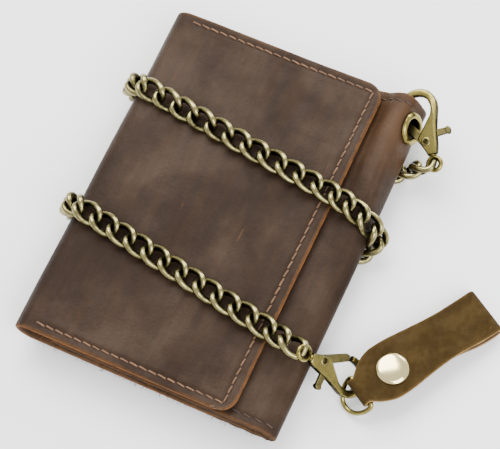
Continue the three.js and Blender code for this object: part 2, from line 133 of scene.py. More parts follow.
def spline(points: Sequence[Sequence[float]], per_span: int, closed: bool = False) -> np.ndarray:
    """Runs a Catmull-Rom curve through points.

    Args:
        points: The points to pass through.
        per_span: How many steps each span is cut into.
        closed: Whether the curve returns to its start.

    Returns:
        An array of points; a closed curve doesn't repeat its first one.
    """
    p = np.asarray(points, float)
    n = len(p)
    spans = n if closed else n - 1
    out = []
    for i in range(spans):
        pick = (lambda k: p[k % n]) if closed else (lambda k: p[min(max(k, 0), n - 1)])
        a, b, c, d = pick(i - 1), pick(i), pick(i + 1), pick(i + 2)
        for k in range(per_span):
            t = k / per_span
            out.append(0.5 * (2 * b + (c - a) * t + (2 * a - 5 * b + 4 * c - d) * t * t
                              + (3 * b - a - 3 * c + d) * t ** 3))
    if not closed:
        out.append(p[-1])
    return np.array(out)


@dataclass(frozen=True)
class Place:
    """A local frame in wallet millimetres: an origin and three unit axes."""

    origin: np.ndarray
    x: np.ndarray
    y: np.ndarray
    z: np.ndarray

    @classmethod
    def at(cls, origin: Sequence[float], x: Sequence[float], y: Sequence[float]) -> "Place":
        """Makes a frame from a point, an x direction and a rough y direction."""
        ax = unit(np.array(x, float))
        ay = np.array(y, float)
        ay = unit(ay - ax * ay.dot(ax))
        return cls(np.array(origin, float), ax, ay, np.cross(ax, ay))

    def to_wallet(self, points: np.ndarray) -> np.ndarray:
        """Moves local points into wallet millimetres."""
        p = np.asarray(points, float)
        return self.origin + p[..., :1] * self.x + p[..., 1:2] * self.y + p[..., 2:3] * self.z

    def turned(self, local_origin: Sequence[float], x: Sequence[float],
               y: Sequence[float]) -> "Place":
        """Makes a frame inside this one from local directions."""
        turn = lambda v: v[0] * self.x + v[1] * self.y + v[2] * self.z
        return Place.at(self.to_wallet(np.array(local_origin, float)), turn(x), turn(y))


# ---------------------------------------------------------------- shader graphs
class Graph:
    """A shader node tree with short calls for adding and joining nodes."""

    def __init__(self, tree: bpy.types.NodeTree) -> None:
        self.tree = tree

    def node(self, kind: str, **settings) -> bpy.types.Node:
        """Adds a node and sets its plain settings."""
        made = self.tree.nodes.new(kind)
        for key, value in settings.items():
            setattr(made, key, value)
        return made

    def feed(self, socket: bpy.types.NodeSocket, value) -> None:
        """Links a socket to an input, or sets the input's own value."""
        if isinstance(value, bpy.types.NodeSocket):
            self.tree.links.new(value, socket)
        elif isinstance(value, tuple) and len(value) < len(socket.default_value):
            socket.default_value = (*value, 1.0)
        else:
            socket.default_value = value

    def coords(self):
        """Object coordinates, in metres."""
        return self.node("ShaderNodeTexCoord").outputs["Object"]

    def mapped(self, vector, scale: Sequence[float], offset: Sequence[float] = (0, 0, 0)):
        """Stretches and shifts a vector."""
        mapping = self.node("ShaderNodeMapping")
        self.feed(mapping.inputs["Vector"], vector)
        mapping.inputs["Scale"].default_value = tuple(scale)
        mapping.inputs["Location"].default_value = tuple(offset)
        return mapping.outputs["Vector"]

    def attribute(self, name: str):
        """The value of a named mesh attribute."""
        return self.node("ShaderNodeAttribute", attribute_name=name).outputs["Fac"]

    def noise(self, vector, scale: float, detail: float = 4, rough: float = 0.55,
              warp: float = 0.0):
        """Fractal noise, around 0.5."""
        made = self.node("ShaderNodeTexNoise")
        for key, value in (("Vector", vector), ("Scale", scale), ("Detail", detail),
                           ("Roughness", rough), ("Distortion", warp)):
            self.feed(made.inputs[key], value)
        return made.outputs["Fac"]

    def cells(self, vector, scale: float):
        """Soft-edged cells: the distance from each cell's middle."""
        made = self.node("ShaderNodeTexVoronoi", feature="SMOOTH_F1")
        self.feed(made.inputs["Vector"], vector)
        self.feed(made.inputs["Scale"], scale)
        return made.outputs["Distance"]

    def ramp(self, value, stops: Sequence[tuple[float, Sequence[float]]]):
        """Colours a value by stops of (position, colour)."""
        made = self.node("ShaderNodeValToRGB")
        elements = made.color_ramp.elements
        while len(elements) < len(stops):
            elements.new(0.5)
        for element, (place, colour) in zip(elements, stops):
            element.position = place
            element.color = (*colour, 1.0)
        self.feed(made.inputs["Fac"], value)
        return made.outputs["Color"]

    def mix(self, factor, a, b):
        """Mixes two colours."""
        made = self.node("ShaderNodeMix", data_type="RGBA", clamp_factor=True)
        self.feed(made.inputs["Factor"], factor)
        self.feed(made.inputs[6], a)
        self.feed(made.inputs[7], b)
        return made.outputs[2]

    def calc(self, operation: str, a, b=0.0, clamp: bool = False):
        """Does arithmetic on two values."""
        made = self.node("ShaderNodeMath", operation=operation, use_clamp=clamp)
        self.feed(made.inputs[0], a)
        self.feed(made.inputs[1], b)
        return made.outputs[0]

    def weigh(self, *terms):
        """Adds values up, each given as (value, weight)."""
        total = None
        for value, weight in terms:
            part = self.calc("MULTIPLY", value, weight)
            total = part if total is None else self.calc("ADD", total, part)
        return total

    def swing(self, value, amount: float):
        """Turns noise around 0.5 into a swing around 0."""
        return self.calc("MULTIPLY", self.calc("SUBTRACT", value, 0.5), amount)

    def remap(self, value, low: float, high: float, to_low: float = 0.0, to_high: float = 1.0):
        """Maps a range of values onto another, clamped at both ends."""
        made = self.node("ShaderNodeMapRange", interpolation_type="SMOOTHSTEP")
        for key, given in (("Value", value), ("From Min", low), ("From Max", high),
                           ("To Min", to_low), ("To Max", to_high)):
            self.feed(made.inputs[key], given)
        return made.outputs["Result"]

    def bump(self, height, strength: float, depth: float):
        """Turns a height in 0..1 into a normal; depth is in metres."""
        made = self.node("ShaderNodeBump")
        self.feed(made.inputs["Strength"], strength)
        self.feed(made.inputs["Distance"], depth)
        self.feed(made.inputs["Height"], height)
        return made.outputs["Normal"]

    def use(self, group: bpy.types.NodeTree, **inputs) -> bpy.types.Node:
        """Adds a node group and feeds it."""
        made = self.node("ShaderNodeGroup", node_tree=group)
        for key, value in inputs.items():
            self.feed(made.inputs[key.replace("_", " ")], value)
        return made


class NodeGroups:
    """The effects that several finishes share."""

    def __init__(self) -> None:
        self._made: dict[str, bpy.types.NodeTree] = {}

    def _group(self, name: str, values: Sequence[str], outputs: Sequence[str],
               build: Callable[[Graph, dict, dict], None]) -> bpy.types.NodeTree:
        """Makes a group once: it takes a Vector and the named values, and gives named values."""
        if name in self._made:
            return self._made[name]
        tree = bpy.data.node_groups.new(name, "ShaderNodeTree")
        add = tree.interface.new_socket
        add(name="Vector", in_out="INPUT", socket_type="NodeSocketVector")
        for label in values:
            add(name=label, in_out="INPUT", socket_type="NodeSocketFloat")
        for label in outputs:
            add(name=label, in_out="OUTPUT", socket_type="NodeSocketFloat")
        graph = Graph(tree)
        start, end = graph.node("NodeGroupInput"), graph.node("NodeGroupOutput")
        build(graph, start.outputs, end.inputs)
        self._made[name] = tree
        return tree

    def cloud(self) -> bpy.types.NodeTree:
        """Soft blotches of several sizes, as waxed leather has: Size in, Mask out."""

        def build(g: Graph, given: dict, out: dict) -> None:
            broad = g.noise(given["Vector"], given["Size"], 3, 0.5, 0.6)
            fine = g.noise(given["Vector"], g.calc("MULTIPLY", given["Size"], 5.0), 5, 0.62)
            g.feed(out["Mask"], g.remap(g.weigh((broad, 0.68), (fine, 0.32)), 0.36, 0.64))

        return self._group("cloud", ["Size"], ["Mask"], build)

    def grain(self) -> bpy.types.NodeTree:
        """Leather grain: pebbles with pores and creases between them. Output Height and Pits."""

        def build(g: Graph, given: dict, out: dict) -> None:
            where, scale = given["Vector"], given["Scale"]
            pebble = g.cells(where, scale)
            crease = g.noise(where, g.calc("MULTIPLY", scale, 0.28), 6, 0.68, 0.8)
            dust = g.noise(where, g.calc("MULTIPLY", scale, 2.1), 3, 0.7)
            g.feed(out["Height"], g.weigh((pebble, -0.45), (crease, 0.85), (dust, 0.35)))
            g.feed(out["Pits"], g.remap(dust, 0.62, 0.74))

        return self._group("grain", ["Scale"], ["Height", "Pits"], build)

    def rub(self) -> bpy.types.NodeTree:
        """Where an edge is rubbed pale: Edge is the distance from it, Reach how far wear goes."""

        def build(g: Graph, given: dict, out: dict) -> None:
            ragged = g.noise(given["Vector"], 420.0, 5, 0.7, 0.4)
            near = g.calc("DIVIDE", given["Edge"], given["Reach"])
            near = g.calc("ADD", near, g.swing(ragged, 1.7))
            g.feed(out["Mask"], g.remap(near, 0.1, 1.0, 1.0, 0.0))

        return self._group("rub", ["Edge", "Reach"], ["Mask"], build)

    def patina(self) -> bpy.types.NodeTree:
        """Antique plating: its input value is 1 on rubbed high spots and painted highlights and low
        in painted shade. Bright is the share of rubbed metal and painted highlight.
        """

        def build(g: Graph, given: dict, out: dict) -> None:
            blot = g.noise(given["Vector"], 330.0, 5, 0.65, 0.5)
            speck = g.noise(given["Vector"], 1500.0, 3, 0.6)
            spoilt = g.calc("ADD", g.swing(blot, 0.9), g.swing(speck, 0.5))
            g.feed(out["Bright"], g.remap(g.calc("ADD", given["Rub"], spoilt), 0.24, 0.90))
            g.feed(out["Height"], speck)

        return self._group("patina", ["Rub"], ["Bright", "Height"], build)


GROUPS = NodeGroups()
Colour = tuple[float, float, float]


def new_material(name: str) -> tuple[bpy.types.Material, Graph, bpy.types.Node]:
    """Starts a material and returns it with its graph and its Principled shader."""
    material = bpy.data.materials.new(name)
    material.use_nodes = True
    graph = Graph(material.node_tree)
    return material, graph, material.node_tree.nodes["Principled BSDF"]


class Finish:
    """A procedural finish. Each one builds its material once."""

    name: str

    def build(self) -> bpy.types.Material:
        """Makes the material."""
        raise NotImplementedError

    @property
    def material(self) -> bpy.types.Material:
        """The finish's material, made the first time it is asked for."""
        return bpy.data.materials.get(self.name) or self.build()


@dataclass(frozen=True)
class WaxedLeather(Finish):
    """Oil-tanned leather with a waxy bloom, scuffs, rubbed edges and a fine grain."""

    name: str
    dark: Colour
    middle: Colour
    bloom: Colour
    worn: Colour
    rough: float = 0.5
    grain_scale: float = 1150.0
    blotch_size: float = 34.0
    reach: float = 2.2
    worn_amount: float = 0.75
    sheen: float = 0.04
    relief: float = 0.00034
    shine: float = 0.2

    def build(self) -> bpy.types.Material:
        material, g, shader = new_material(self.name)
        where = g.coords()
        cloud = g.use(GROUPS.cloud(), Vector=where, Size=self.blotch_size).outputs["Mask"]
        grain = g.use(GROUPS.grain(), Vector=where, Scale=self.grain_scale)
        along = g.mapped(where, (260, 34, 260))
        streak = g.remap(g.noise(along, 1.0, 6, 0.72, 0.3), 0.36, 0.68)
        tone = g.ramp(g.weigh((cloud, 0.68), (streak, 0.32)),
                      [(0.12, self.dark), (0.52, self.middle), (0.95, self.bloom)])
        scratch = g.mapped(where, (900, 70, 900), (0.3, 0.1, 0))
        scratches = g.remap(g.noise(scratch, 1.0, 3, 0.6, 1.4), 0.67, 0.74)
        tone = g.mix(g.calc("MULTIPLY", scratches, 0.35), tone, self.worn)
        tone = g.mix(g.calc("MULTIPLY", grain.outputs["Pits"], 0.4), tone, self.dark)
        edge = g.attribute("edge_mm")
        rub = g.use(GROUPS.rub(), Vector=where, Edge=edge, Reach=self.reach).outputs["Mask"]
        tone = g.mix(g.calc("MULTIPLY", rub, self.worn_amount), tone, self.worn)
        seam = g.attribute("seam")
        tone = g.mix(g.calc("MULTIPLY", seam, 0.55), tone, self.dark)
        patchy = g.remap(cloud, 0.0, 1.0, 0.25, 0.75)
        tone = g.mix(g.calc("MULTIPLY", g.attribute("warm"), patchy), tone, self.worn)
        g.feed(shader.inputs["Base Color"], tone)
        gloss = g.calc("ADD", g.swing(cloud, -0.16), g.swing(streak, 0.12))
        g.feed(shader.inputs["Roughness"], g.calc("ADD", gloss, self.rough, clamp=True))
        shader.inputs["Specular IOR Level"].default_value = self.shine
        shader.inputs["Sheen Weight"].default_value = self.sheen
        shader.inputs["Sheen Roughness"].default_value = 0.4
        g.feed(shader.inputs["Normal"], g.bump(grain.outputs["Height"], 0.55, self.relief))
        return material


@dataclass(frozen=True)
class RawEdge(Finish):
    """The cut edge of leather: pale core fibres, darker where oil has soaked in."""

    name: str
    pale: Colour
    soaked: Colour

    def build(self) -> bpy.types.Material:
        material, g, shader = new_material(self.name)
        where = g.coords()
        fibre = g.noise(g.mapped(where, (500, 500, 2400)), 1.0, 5, 0.7, 0.8)
        soak = g.noise(where, 300.0, 4, 0.65, 0.5)
        both = g.weigh((fibre, 0.55), (soak, 0.45))
        g.feed(shader.inputs["Base Color"], g.ramp(both, [(0.36, self.soaked), (0.6, self.pale)]))
        shader.inputs["Roughness"].default_value = 0.82
        shader.inputs["Specular IOR Level"].default_value = 0.2
        g.feed(shader.inputs["Normal"], g.bump(fibre, 0.8, 0.00025))
        return material


@dataclass(frozen=True)
class Thread(Finish):
    """Waxed sewing thread with its twist."""

    name: str
    colour: Colour
    shade: Colour

    def build(self) -> bpy.types.Material:
        material, g, shader = new_material(self.name)
        where = g.coords()
        ply = g.noise(where, 2600.0, 2, 0.5, 1.0)
        grime = g.noise(where, 260.0, 3, 0.6)
        tone = g.ramp(g.weigh((ply, 0.4), (grime, 0.6)),
                      [(0.36, self.shade), (0.6, self.colour)])
        g.feed(shader.inputs["Base Color"], tone)
        shader.inputs["Roughness"].default_value = 0.7
        g.feed(shader.inputs["Normal"], g.bump(ply, 0.6, 0.0001))
        return material


@dataclass(frozen=True)
class AntiqueMetal(Finish):
    """Plated metal, darker in its recesses and brighter on its high spots: partly patina and wear,
    partly painted shade and painted highlight.
    """

    name: str
    shade_and_patina: Colour
    bright: Colour
    rough: float = 0.3
    brightening_from_attribute: bool = True

    def build(self) -> bpy.types.Material:
        material, g, shader = new_material(self.name)
        where = g.coords()
        # The per-vertex value mixes patina and wear with painted shade in hollows and on bevels,
        # and painted highlights on faces turned up.
        rub = g.attribute("rub") if self.brightening_from_attribute else 0.62
        patina = g.use(GROUPS.patina(), Vector=where, Rub=rub)
        highlight_and_bare = patina.outputs["Bright"]
        g.feed(shader.inputs["Base Color"], g.mix(highlight_and_bare, self.shade_and_patina, self.bright))
        g.feed(shader.inputs["Roughness"], g.remap(highlight_and_bare, 0.0, 1.0, self.rough + 0.22, self.rough))
        shader.inputs["Metallic"].default_value = 1.0
        g.feed(shader.inputs["Normal"], g.bump(patina.outputs["Height"], 0.12, 0.00008))
        return material


@dataclass(frozen=True)
class PaintedHoleShade(Finish):
    """Painted shade for the inside of a needle hole: a dark, matt colour."""

    name: str
    colour: Colour
    deepest: Colour = (0.004, 0.003, 0.002)

    def build(self) -> bpy.types.Material:
        material, g, shader = new_material(self.name)
        fuzz = g.noise(g.coords(), 3000.0, 2)
        g.feed(shader.inputs["Base Color"], g.ramp(fuzz, [(0.3, self.deepest), (0.7, self.colour)]))
        shader.inputs["Roughness"].default_value = 0.95
        return material


@dataclass(frozen=True)
class StudioFloor(Finish):
    """A pale, matt tabletop."""

    name: str
    colour: Colour

    def build(self) -> bpy.types.Material:
        material, g, shader = new_material(self.name)
        tone = g.noise(g.coords(), 3.0, 2)
        pale = tuple(min(c * 1.01, 1.0) for c in self.colour)
        g.feed(shader.inputs["Base Color"], g.ramp(tone, [(0.3, self.colour), (0.7, pale)]))
        shader.inputs["Roughness"].default_value = 0.9
        shader.inputs["Specular IOR Level"].default_value = 0.1
        return material


WALLET = WaxedLeather(
    "waxed_leather", dark=(0.017, 0.0088, 0.0048), middle=(0.028, 0.0155, 0.0088),
    bloom=(0.043, 0.0265, 0.0165), worn=(0.115, 0.050, 0.016), rough=0.52, blotch_size=22.0,
    reach=1.0, worn_amount=0.55, sheen=0.015, shine=0.10)
FLESH = WaxedLeather(
    "leather_flesh_side", dark=(0.035, 0.018, 0.010), middle=(0.070, 0.040, 0.023),
    bloom=(0.10, 0.06, 0.036), worn=(0.13, 0.07, 0.03), rough=0.85, grain_scale=1700.0, sheen=0.1)
LINING = WaxedLeather(
    "smooth_lining_leather", dark=(0.018, 0.010, 0.007), middle=(0.036, 0.021, 0.014),
    bloom=(0.06, 0.037, 0.026), worn=(0.10, 0.045, 0.018), rough=0.6, grain_scale=2100.0,
    reach=1.0, relief=0.0001)
STRAP = WaxedLeather(
    "nubuck_strap_leather", dark=(0.028, 0.0160, 0.0041), middle=(0.036, 0.0210, 0.0053),
    bloom=(0.047, 0.0285, 0.0078), worn=(0.11, 0.066, 0.020), rough=0.78, grain_scale=2300.0,
    blotch_size=150.0, reach=0.8, worn_amount=0.35, sheen=0.03, relief=0.00016, shine=0.07)
TAN_EDGE = RawEdge("raw_edge_tan", (0.20, 0.078, 0.021), (0.040, 0.017, 0.007))
DARK_EDGE = RawEdge("raw_edge_dark", (0.075, 0.036, 0.015), (0.018, 0.010, 0.006))
STRAP_EDGE = RawEdge("raw_edge_strap", (0.34, 0.21, 0.075), (0.05, 0.030, 0.010))
STITCH = Thread("waxed_thread", (0.17, 0.085, 0.038), (0.055, 0.028, 0.014))
DARK_STITCH = Thread("dark_thread", (0.06, 0.030, 0.016), (0.018, 0.010, 0.007))
HOLE_SHADE = PaintedHoleShade("needle_hole_shade", (0.010, 0.006, 0.004))
# Each metal's first colour stands for patina and painted shade, its second for rubbed brass and
# painted highlight.
CHAIN_METAL = AntiqueMetal(
    "antique_brass_chain", (0.010, 0.008, 0.003), (0.315, 0.275, 0.118), 0.22)
CLASP_METAL = AntiqueMetal(
    "antique_brass_cast", (0.010, 0.0075, 0.002), (0.30, 0.245, 0.072), 0.22)
DARK_METAL = AntiqueMetal(
    "antique_brass_dark", (0.009, 0.0075, 0.003), (0.17, 0.143, 0.055), 0.30)
PLAIN_METAL = AntiqueMetal(
    "antique_brass_hidden", (0.05, 0.042, 0.02), (0.36, 0.32, 0.17), 0.36, False)
CAP_METAL = AntiqueMetal("polished_snap_cap", (0.34, 0.26, 0.10), (0.86, 0.72, 0.36), 0.14)


# ---------------------------------------------------------------- meshes
class Slot(Enum):
    """Material slot names."""

    OUTER = "wallet_leather"
    LINING = "lining_leather"
    STRAP = "strap_leather"
    CHAIN = "chain_brass"
    BRASS = "antique_brass"
    DARK = "dark_brass"
    CAP = "polished_cap"


@dataclass
class Shell:
    """A mesh in wallet millimetres, with a finish index per face and named vertex values."""

    points: np.ndarray
    faces: list[tuple[int, ...]]
    finish: list[int] = field(default_factory=list)
    values: dict[str, np.ndarray] = field(default_factory=dict)

    def placed(self, place: Place) -> "Shell":
        """The same shell, moved from a local frame into wallet millimetres."""
        return Shell(place.to_wallet(self.points), self.faces, self.finish, self.values)


def join_shells(shells: Sequence[Shell]) -> Shell:
    """Joins shells into one, keeping their finishes and values."""
    points, faces, finish = [], [], []
    names = sorted({name for s in shells for name in s.values})
    values = {name: [] for name in names}
    start = 0
    for s in shells:
        points.append(s.points)
        faces.extend(tuple(i + start for i in f) for f in s.faces)
        finish.extend(s.finish or [0] * len(s.faces))
        for name in names:
            values[name].append(s.values.get(name, np.zeros(len(s.points))))
        start += len(s.points)
    joined = {name: np.concatenate(parts) for name, parts in values.items()}
    return Shell(np.concatenate(points), faces, finish, joined)


def piece(name: str, shell: Shell, finishes: Sequence[Finish], slot: Slot,
          replaces: Sequence[str] = (), body: str | None = None,
          smooth_angle: float = 40.0) -> bpy.types.Object:
    """Makes a Blender object from a shell and ties it to the frame.

    Args:
        name: The object's name.
        shell: Its mesh, in wallet millimetres.
        finishes: Its finishes; the shell's finish numbers pick from them.
        slot: The material slot that it stands for. Not used.
        replaces: The CAD nodes that it stands for.
        body: The CAD body that it rides on, or None to leave it on no body.
        smooth_angle: Edges sharper than this, in degrees, stay sharp.

    Returns:
        The new object.
    """
    mesh = bpy.data.meshes.new(name)
    mesh.from_pydata(to_row(shell.points).tolist(), [], shell.faces)
    for finish in finishes:
        mesh.materials.append(finish.material)
    if shell.finish:
        mesh.polygons.foreach_set("material_index", shell.finish)
    for key, values in shell.values.items():
        attribute = mesh.attributes.new(key, "FLOAT", "POINT")
        attribute.data.foreach_set("value", np.asarray(values, np.float32))
    mesh.validate(clean_customdata=False)
    mesh.update()
    mesh.shade_smooth()
    mesh.set_sharp_from_angle(angle=math.radians(smooth_angle))
    made = bpy.data.objects.new(name, mesh)
    bpy.context.scene.collection.objects.link(made)
    if body is not None:
        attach(made, body)
    if replaces:
        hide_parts(*replaces)
    LOG.info("%s: %d faces, stands for %s", name, len(mesh.polygons),
             ", ".join(replaces) or "detail")
    return made


@dataclass(frozen=True)
class Rims:
    """Which sides of a leather sheet are cut edges; the others butt against more leather."""

    first_row: bool = True
    last_row: bool = True
    first_column: bool = True
    last_column: bool = True


def distance_to(points: np.ndarray, targets: np.ndarray, limit: float = 30.0,
                batch: int = 4000) -> np.ndarray:
    """The distance from each point to the nearest target, capped, a batch of points at a time."""
    best = np.full(len(points), limit)
    if not len(targets):
        return best
    for start in range(0, len(points), batch):
        chunk = points[start:start + batch]
        gap = np.linalg.norm(chunk[:, None, :] - targets[None, :, :], axis=2).min(axis=1)
        best[start:start + batch] = np.minimum(gap, limit)
    return best


def edge_loop(rows: int, columns: int) -> list[tuple[int, int]]:
    """The (row, column) places round the edge of a grid, in order."""
    loop = [(0, c) for c in range(columns)] + [(r, columns - 1) for r in range(1, rows)]
    loop += [(rows - 1, c) for c in range(columns - 2, -1, -1)]
    return loop + [(r, 0) for r in range(rows - 2, 0, -1)]


def leather_sheet(grain: np.ndarray, thickness: float, rims: Rims = Rims(),
                  bulge: float = 0.16, pinch: float = 0.13,
                  seam: np.ndarray | None = None) -> Shell:
    """Gives a grid of points on the grain side a thickness and rounded cut edges.

    Args:
        grain: Points on the grain side, rows by columns, whose columns crossed with rows face out.
        thickness: The leather's thickness in millimetres.
        rims: Which sides are cut edges.
        bulge: How far a cut edge swells, as a share of the thickness.
        pinch: How far its two corners draw in, as a share of the thickness.
        seam: A value per grain point that darkens a stitched groove.

    Returns:
        A closed shell. Finish 0 is the grain side, 1 the flesh side and 2 the cut edge.
    """
    rows, columns, _ = grain.shape
    along = np.gradient(grain, axis=1)
    up = np.gradient(grain, axis=0)
    normal = unit(np.cross(along, up))
    outer, inner = grain.copy(), grain - normal * thickness
    loop = edge_loop(rows, columns)
    outward, cut = [], []
    for r, c in loop:
        push = np.zeros(3)
        is_cut = False
        for on_side, is_rim, inside in (
            (r == 0, rims.first_row, (1, c)),
            (r == rows - 1, rims.last_row, (rows - 2, c)),
            (c == 0, rims.first_column, (r, 1)),
            (c == columns - 1, rims.last_column, (r, columns - 2)),
        ):
            if on_side and is_rim:
                push += unit(grain[r, c] - grain[inside])
                is_cut = True
        outward.append(unit(push) if is_cut else push)
        cut.append(is_cut)
        if is_cut:
            outer[r, c] -= normal[r, c] * thickness * pinch
            inner[r, c] += normal[r, c] * thickness * pinch
    count = rows * columns
    faces, finish = [], []
    at = lambda r, c: r * columns + c
    for r in range(rows - 1):
        for c in range(columns - 1):
            quad = (at(r, c), at(r, c + 1), at(r + 1, c + 1), at(r + 1, c))
            faces.append(quad)
            faces.append(tuple(i + count for i in reversed(quad)))
            finish += [0, 1]
    edge = np.array([outer[r, c] for r, c in loop])
    below = np.array([inner[r, c] for r, c in loop])
    outward = np.array(outward)
    rings = [[at(r, c) for r, c in loop]]
    extra = []
    start = 2 * count
    for share in (0.22, 0.5, 0.78):
        swell = bulge * thickness * math.sin(math.pi * share)
        extra.append(edge + (below - edge) * share + outward * swell)
        rings.append(list(range(start, start + len(loop))))
        start += len(loop)
    rings.append([at(r, c) + count for r, c in loop])
    n = len(loop)
    for upper, lower in zip(rings, rings[1:]):
        for i in range(n):
            j = (i + 1) % n
            faces.append((upper[j], upper[i], lower[i], lower[j]))
            finish.append(2)
    points = np.concatenate([outer.reshape(-1, 3), inner.reshape(-1, 3), *extra])
    targets = np.array([p for p, is_cut in zip(edge, cut) if is_cut]).reshape(-1, 3)
    grooves = np.zeros(len(points))
    if seam is not None:
        grooves[:count] = seam.reshape(-1)
    return Shell(points, faces, finish, {"edge_mm": distance_to(points, targets), "seam": grooves})


def tube(path: np.ndarray, radius: float | np.ndarray, sides: int,
         closed: bool = False) -> Shell:
    """Sweeps a round section along a path with even turning.

    Args:
        path: The centreline.
        radius: The wire's radius, one value or one per point.
        sides: How many sides the section has.
        closed: Whether the path returns to its start.

    Returns:
        The shell. An open tube has flat ends.
    """
    path = np.asarray(path, float)
    n = len(path)
    if closed:
        tangent = unit(np.roll(path, -1, axis=0) - np.roll(path, 1, axis=0))
    else:
        tangent = unit(np.gradient(path, axis=0))
    upright = abs(tangent[0][2]) >= 0.9
    guide = np.array([1.0, 0.0, 0.0]) if upright else np.array([0.0, 0.0, 1.0])
    first = unit(guide - tangent[0] * guide.dot(tangent[0]))
    sideways = [first]
    for i in range(1, n):
        v = sideways[-1] - tangent[i] * sideways[-1].dot(tangent[i])
        sideways.append(unit(v))
    sideways = np.array(sideways)
    if closed:
        end = unit(sideways[-1] - tangent[0] * sideways[-1].dot(tangent[0]))
        twist = math.atan2(np.cross(end, first).dot(tangent[0]), end.dot(first))
        turn = twist * np.arange(n) / n
        other = np.cross(tangent, sideways)
        sideways = sideways * np.cos(turn)[:, None] + other * np.sin(turn)[:, None]
    other = np.cross(tangent, sideways)
    radii = np.broadcast_to(np.asarray(radius, float), (n,))
    angle = 2 * math.pi * np.arange(sides) / sides
    ring = (np.cos(angle)[None, :, None] * sideways[:, None, :]
            + np.sin(angle)[None, :, None] * other[:, None, :])
    points = (path[:, None, :] + ring * radii[:, None, None]).reshape(-1, 3)
    faces = []
    for i in range(n if closed else n - 1):
        for k in range(sides):
            here, ahead, around = i * sides, ((i + 1) % n) * sides, (k + 1) % sides
            faces.append((here + k, here + around, ahead + around, ahead + k))
    if not closed:
        faces.append(tuple(reversed(range(sides))))
        faces.append(tuple(range((n - 1) * sides, n * sides)))
    return Shell(points, faces, [0] * len(faces), {"rub": np.full(len(points), 0.55)})


def lathe(profile: Sequence[Sequence[float]], steps: int,
          rub: Sequence[float] | None = None) -> Shell:
    """Turns a closed (radius, height) profile about the local z axis.

    Args:
        profile: The section's outline; points on the axis have radius 0.
        steps: How many steps go round.
        rub: How bright each profile point is, or None for an even shade.

    Returns:
        The closed shell.
    """
    profile = np.asarray(profile, float)
    n = len(profile)
    angle = 2 * math.pi * np.arange(steps) / steps
    radius, height = profile[:, 0], profile[:, 1]
    points = np.stack([np.outer(np.cos(angle), radius), np.outer(np.sin(angle), radius),
                       np.broadcast_to(height, (steps, n))], axis=2).reshape(-1, 3)
    on_axis = [i for i in range(n) if radius[i] < 1e-9]
    faces = []
    for s in range(steps):
        t = (s + 1) % steps
        for i in range(n):
            j = (i + 1) % n
            if i in on_axis and j in on_axis:
                continue
            a, b, c, d = s * n + i, t * n + i, t * n + j, s * n + j
            if i in on_axis:
                faces.append((i, c, d))
            elif j in on_axis:
                faces.append((a, b, j))
            else:
                faces.append((a, b, c, d))
    value = np.tile(np.asarray(rub if rub is not None else [0.6] * n, float), steps)
    return Shell(points, faces, [0] * len(faces), {"rub": value})


def evaluated_mesh(holder: bpy.types.Object, *others: bpy.types.Object) -> bpy.types.Mesh:
    """Links objects into the scene and returns the first one's finished mesh."""
    for made in (holder, *others):
        bpy.context.scene.collection.objects.link(made)
    bpy.context.view_layer.update()
    depsgraph = bpy.context.evaluated_depsgraph_get()
    return bpy.data.meshes.new_from_object(holder.evaluated_get(depsgraph))


def plate(outline: np.ndarray, half: float, bevel: float, slot: tuple | None = None) -> Shell:
    """Cuts a bevelled plate from an outline in the local xy plane.

    Args:
        outline: The closed outline.
        half: Half the plate's thickness.
        bevel: How far its edges are rounded.
        slot: A (low corner, high corner) box that is cut out of it, or None.

    Returns:
        The plate's shell, with a painted highlight on its raised flats and painted shade towards
        its edges.
    """
    curve = bpy.data.curves.new("plate", "CURVE")
    curve.dimensions = "2D"
    curve.fill_mode = "BOTH"
    curve.extrude = half - bevel
    curve.bevel_depth = bevel
    curve.bevel_resolution = 3
    curve.offset = -bevel
    line = curve.splines.new("POLY")
    line.points.add(len(outline) - 1)
    for point, (x, y) in zip(line.points, outline):
        point.co = (x, y, 0, 1)
    line.use_cyclic_u = True
    holder = bpy.data.objects.new("plate", curve)
    mesh = evaluated_mesh(holder)
    bpy.data.objects.remove(holder)
    bpy.data.curves.remove(curve)
    if slot is not None:
        mesh = with_slot(mesh, *slot)
    points = np.array([v.co for v in mesh.vertices], float).reshape(-1, 3)
    faces = [tuple(p.vertices) for p in mesh.polygons]
    bpy.data.meshes.remove(mesh)
    # Painted light: a highlight on the flat faces, shade on the bevelled edges.
    flatness = np.clip(np.abs(points[:, 2]) / half, 0, 1)
    return Shell(points, faces, [0] * len(faces), {"rub": 0.10 + 0.66 * flatness ** 3})


def with_slot(mesh: bpy.types.Mesh, low: Sequence[float], high: Sequence[float]) -> bpy.types.Mesh:
    """Cuts a box out of a mesh and returns the new mesh."""
    welded = bpy.data.objects.new("body", mesh)
    box = bpy.data.meshes.new("slot")
    corners = list(itertools.product(*zip(low, high)))
    sides = [(0, 1, 3, 2), (4, 6, 7, 5), (0, 4, 5, 1), (2, 3, 7, 6), (0, 2, 6, 4), (1, 5, 7, 3)]
    box.from_pydata(corners, [], sides)
    tool = bpy.data.objects.new("slot", box)
    weld = welded.modifiers.new("weld", "WELD")
    weld.merge_threshold = 1e-4
    cut = welded.modifiers.new("cut", "BOOLEAN")
    cut.operation, cut.solver, cut.object = "DIFFERENCE", "EXACT", tool
    made = evaluated_mesh(welded, tool)
    for used in (welded, tool):
        bpy.data.objects.remove(used)
    bpy.data.meshes.remove(box)
    return made


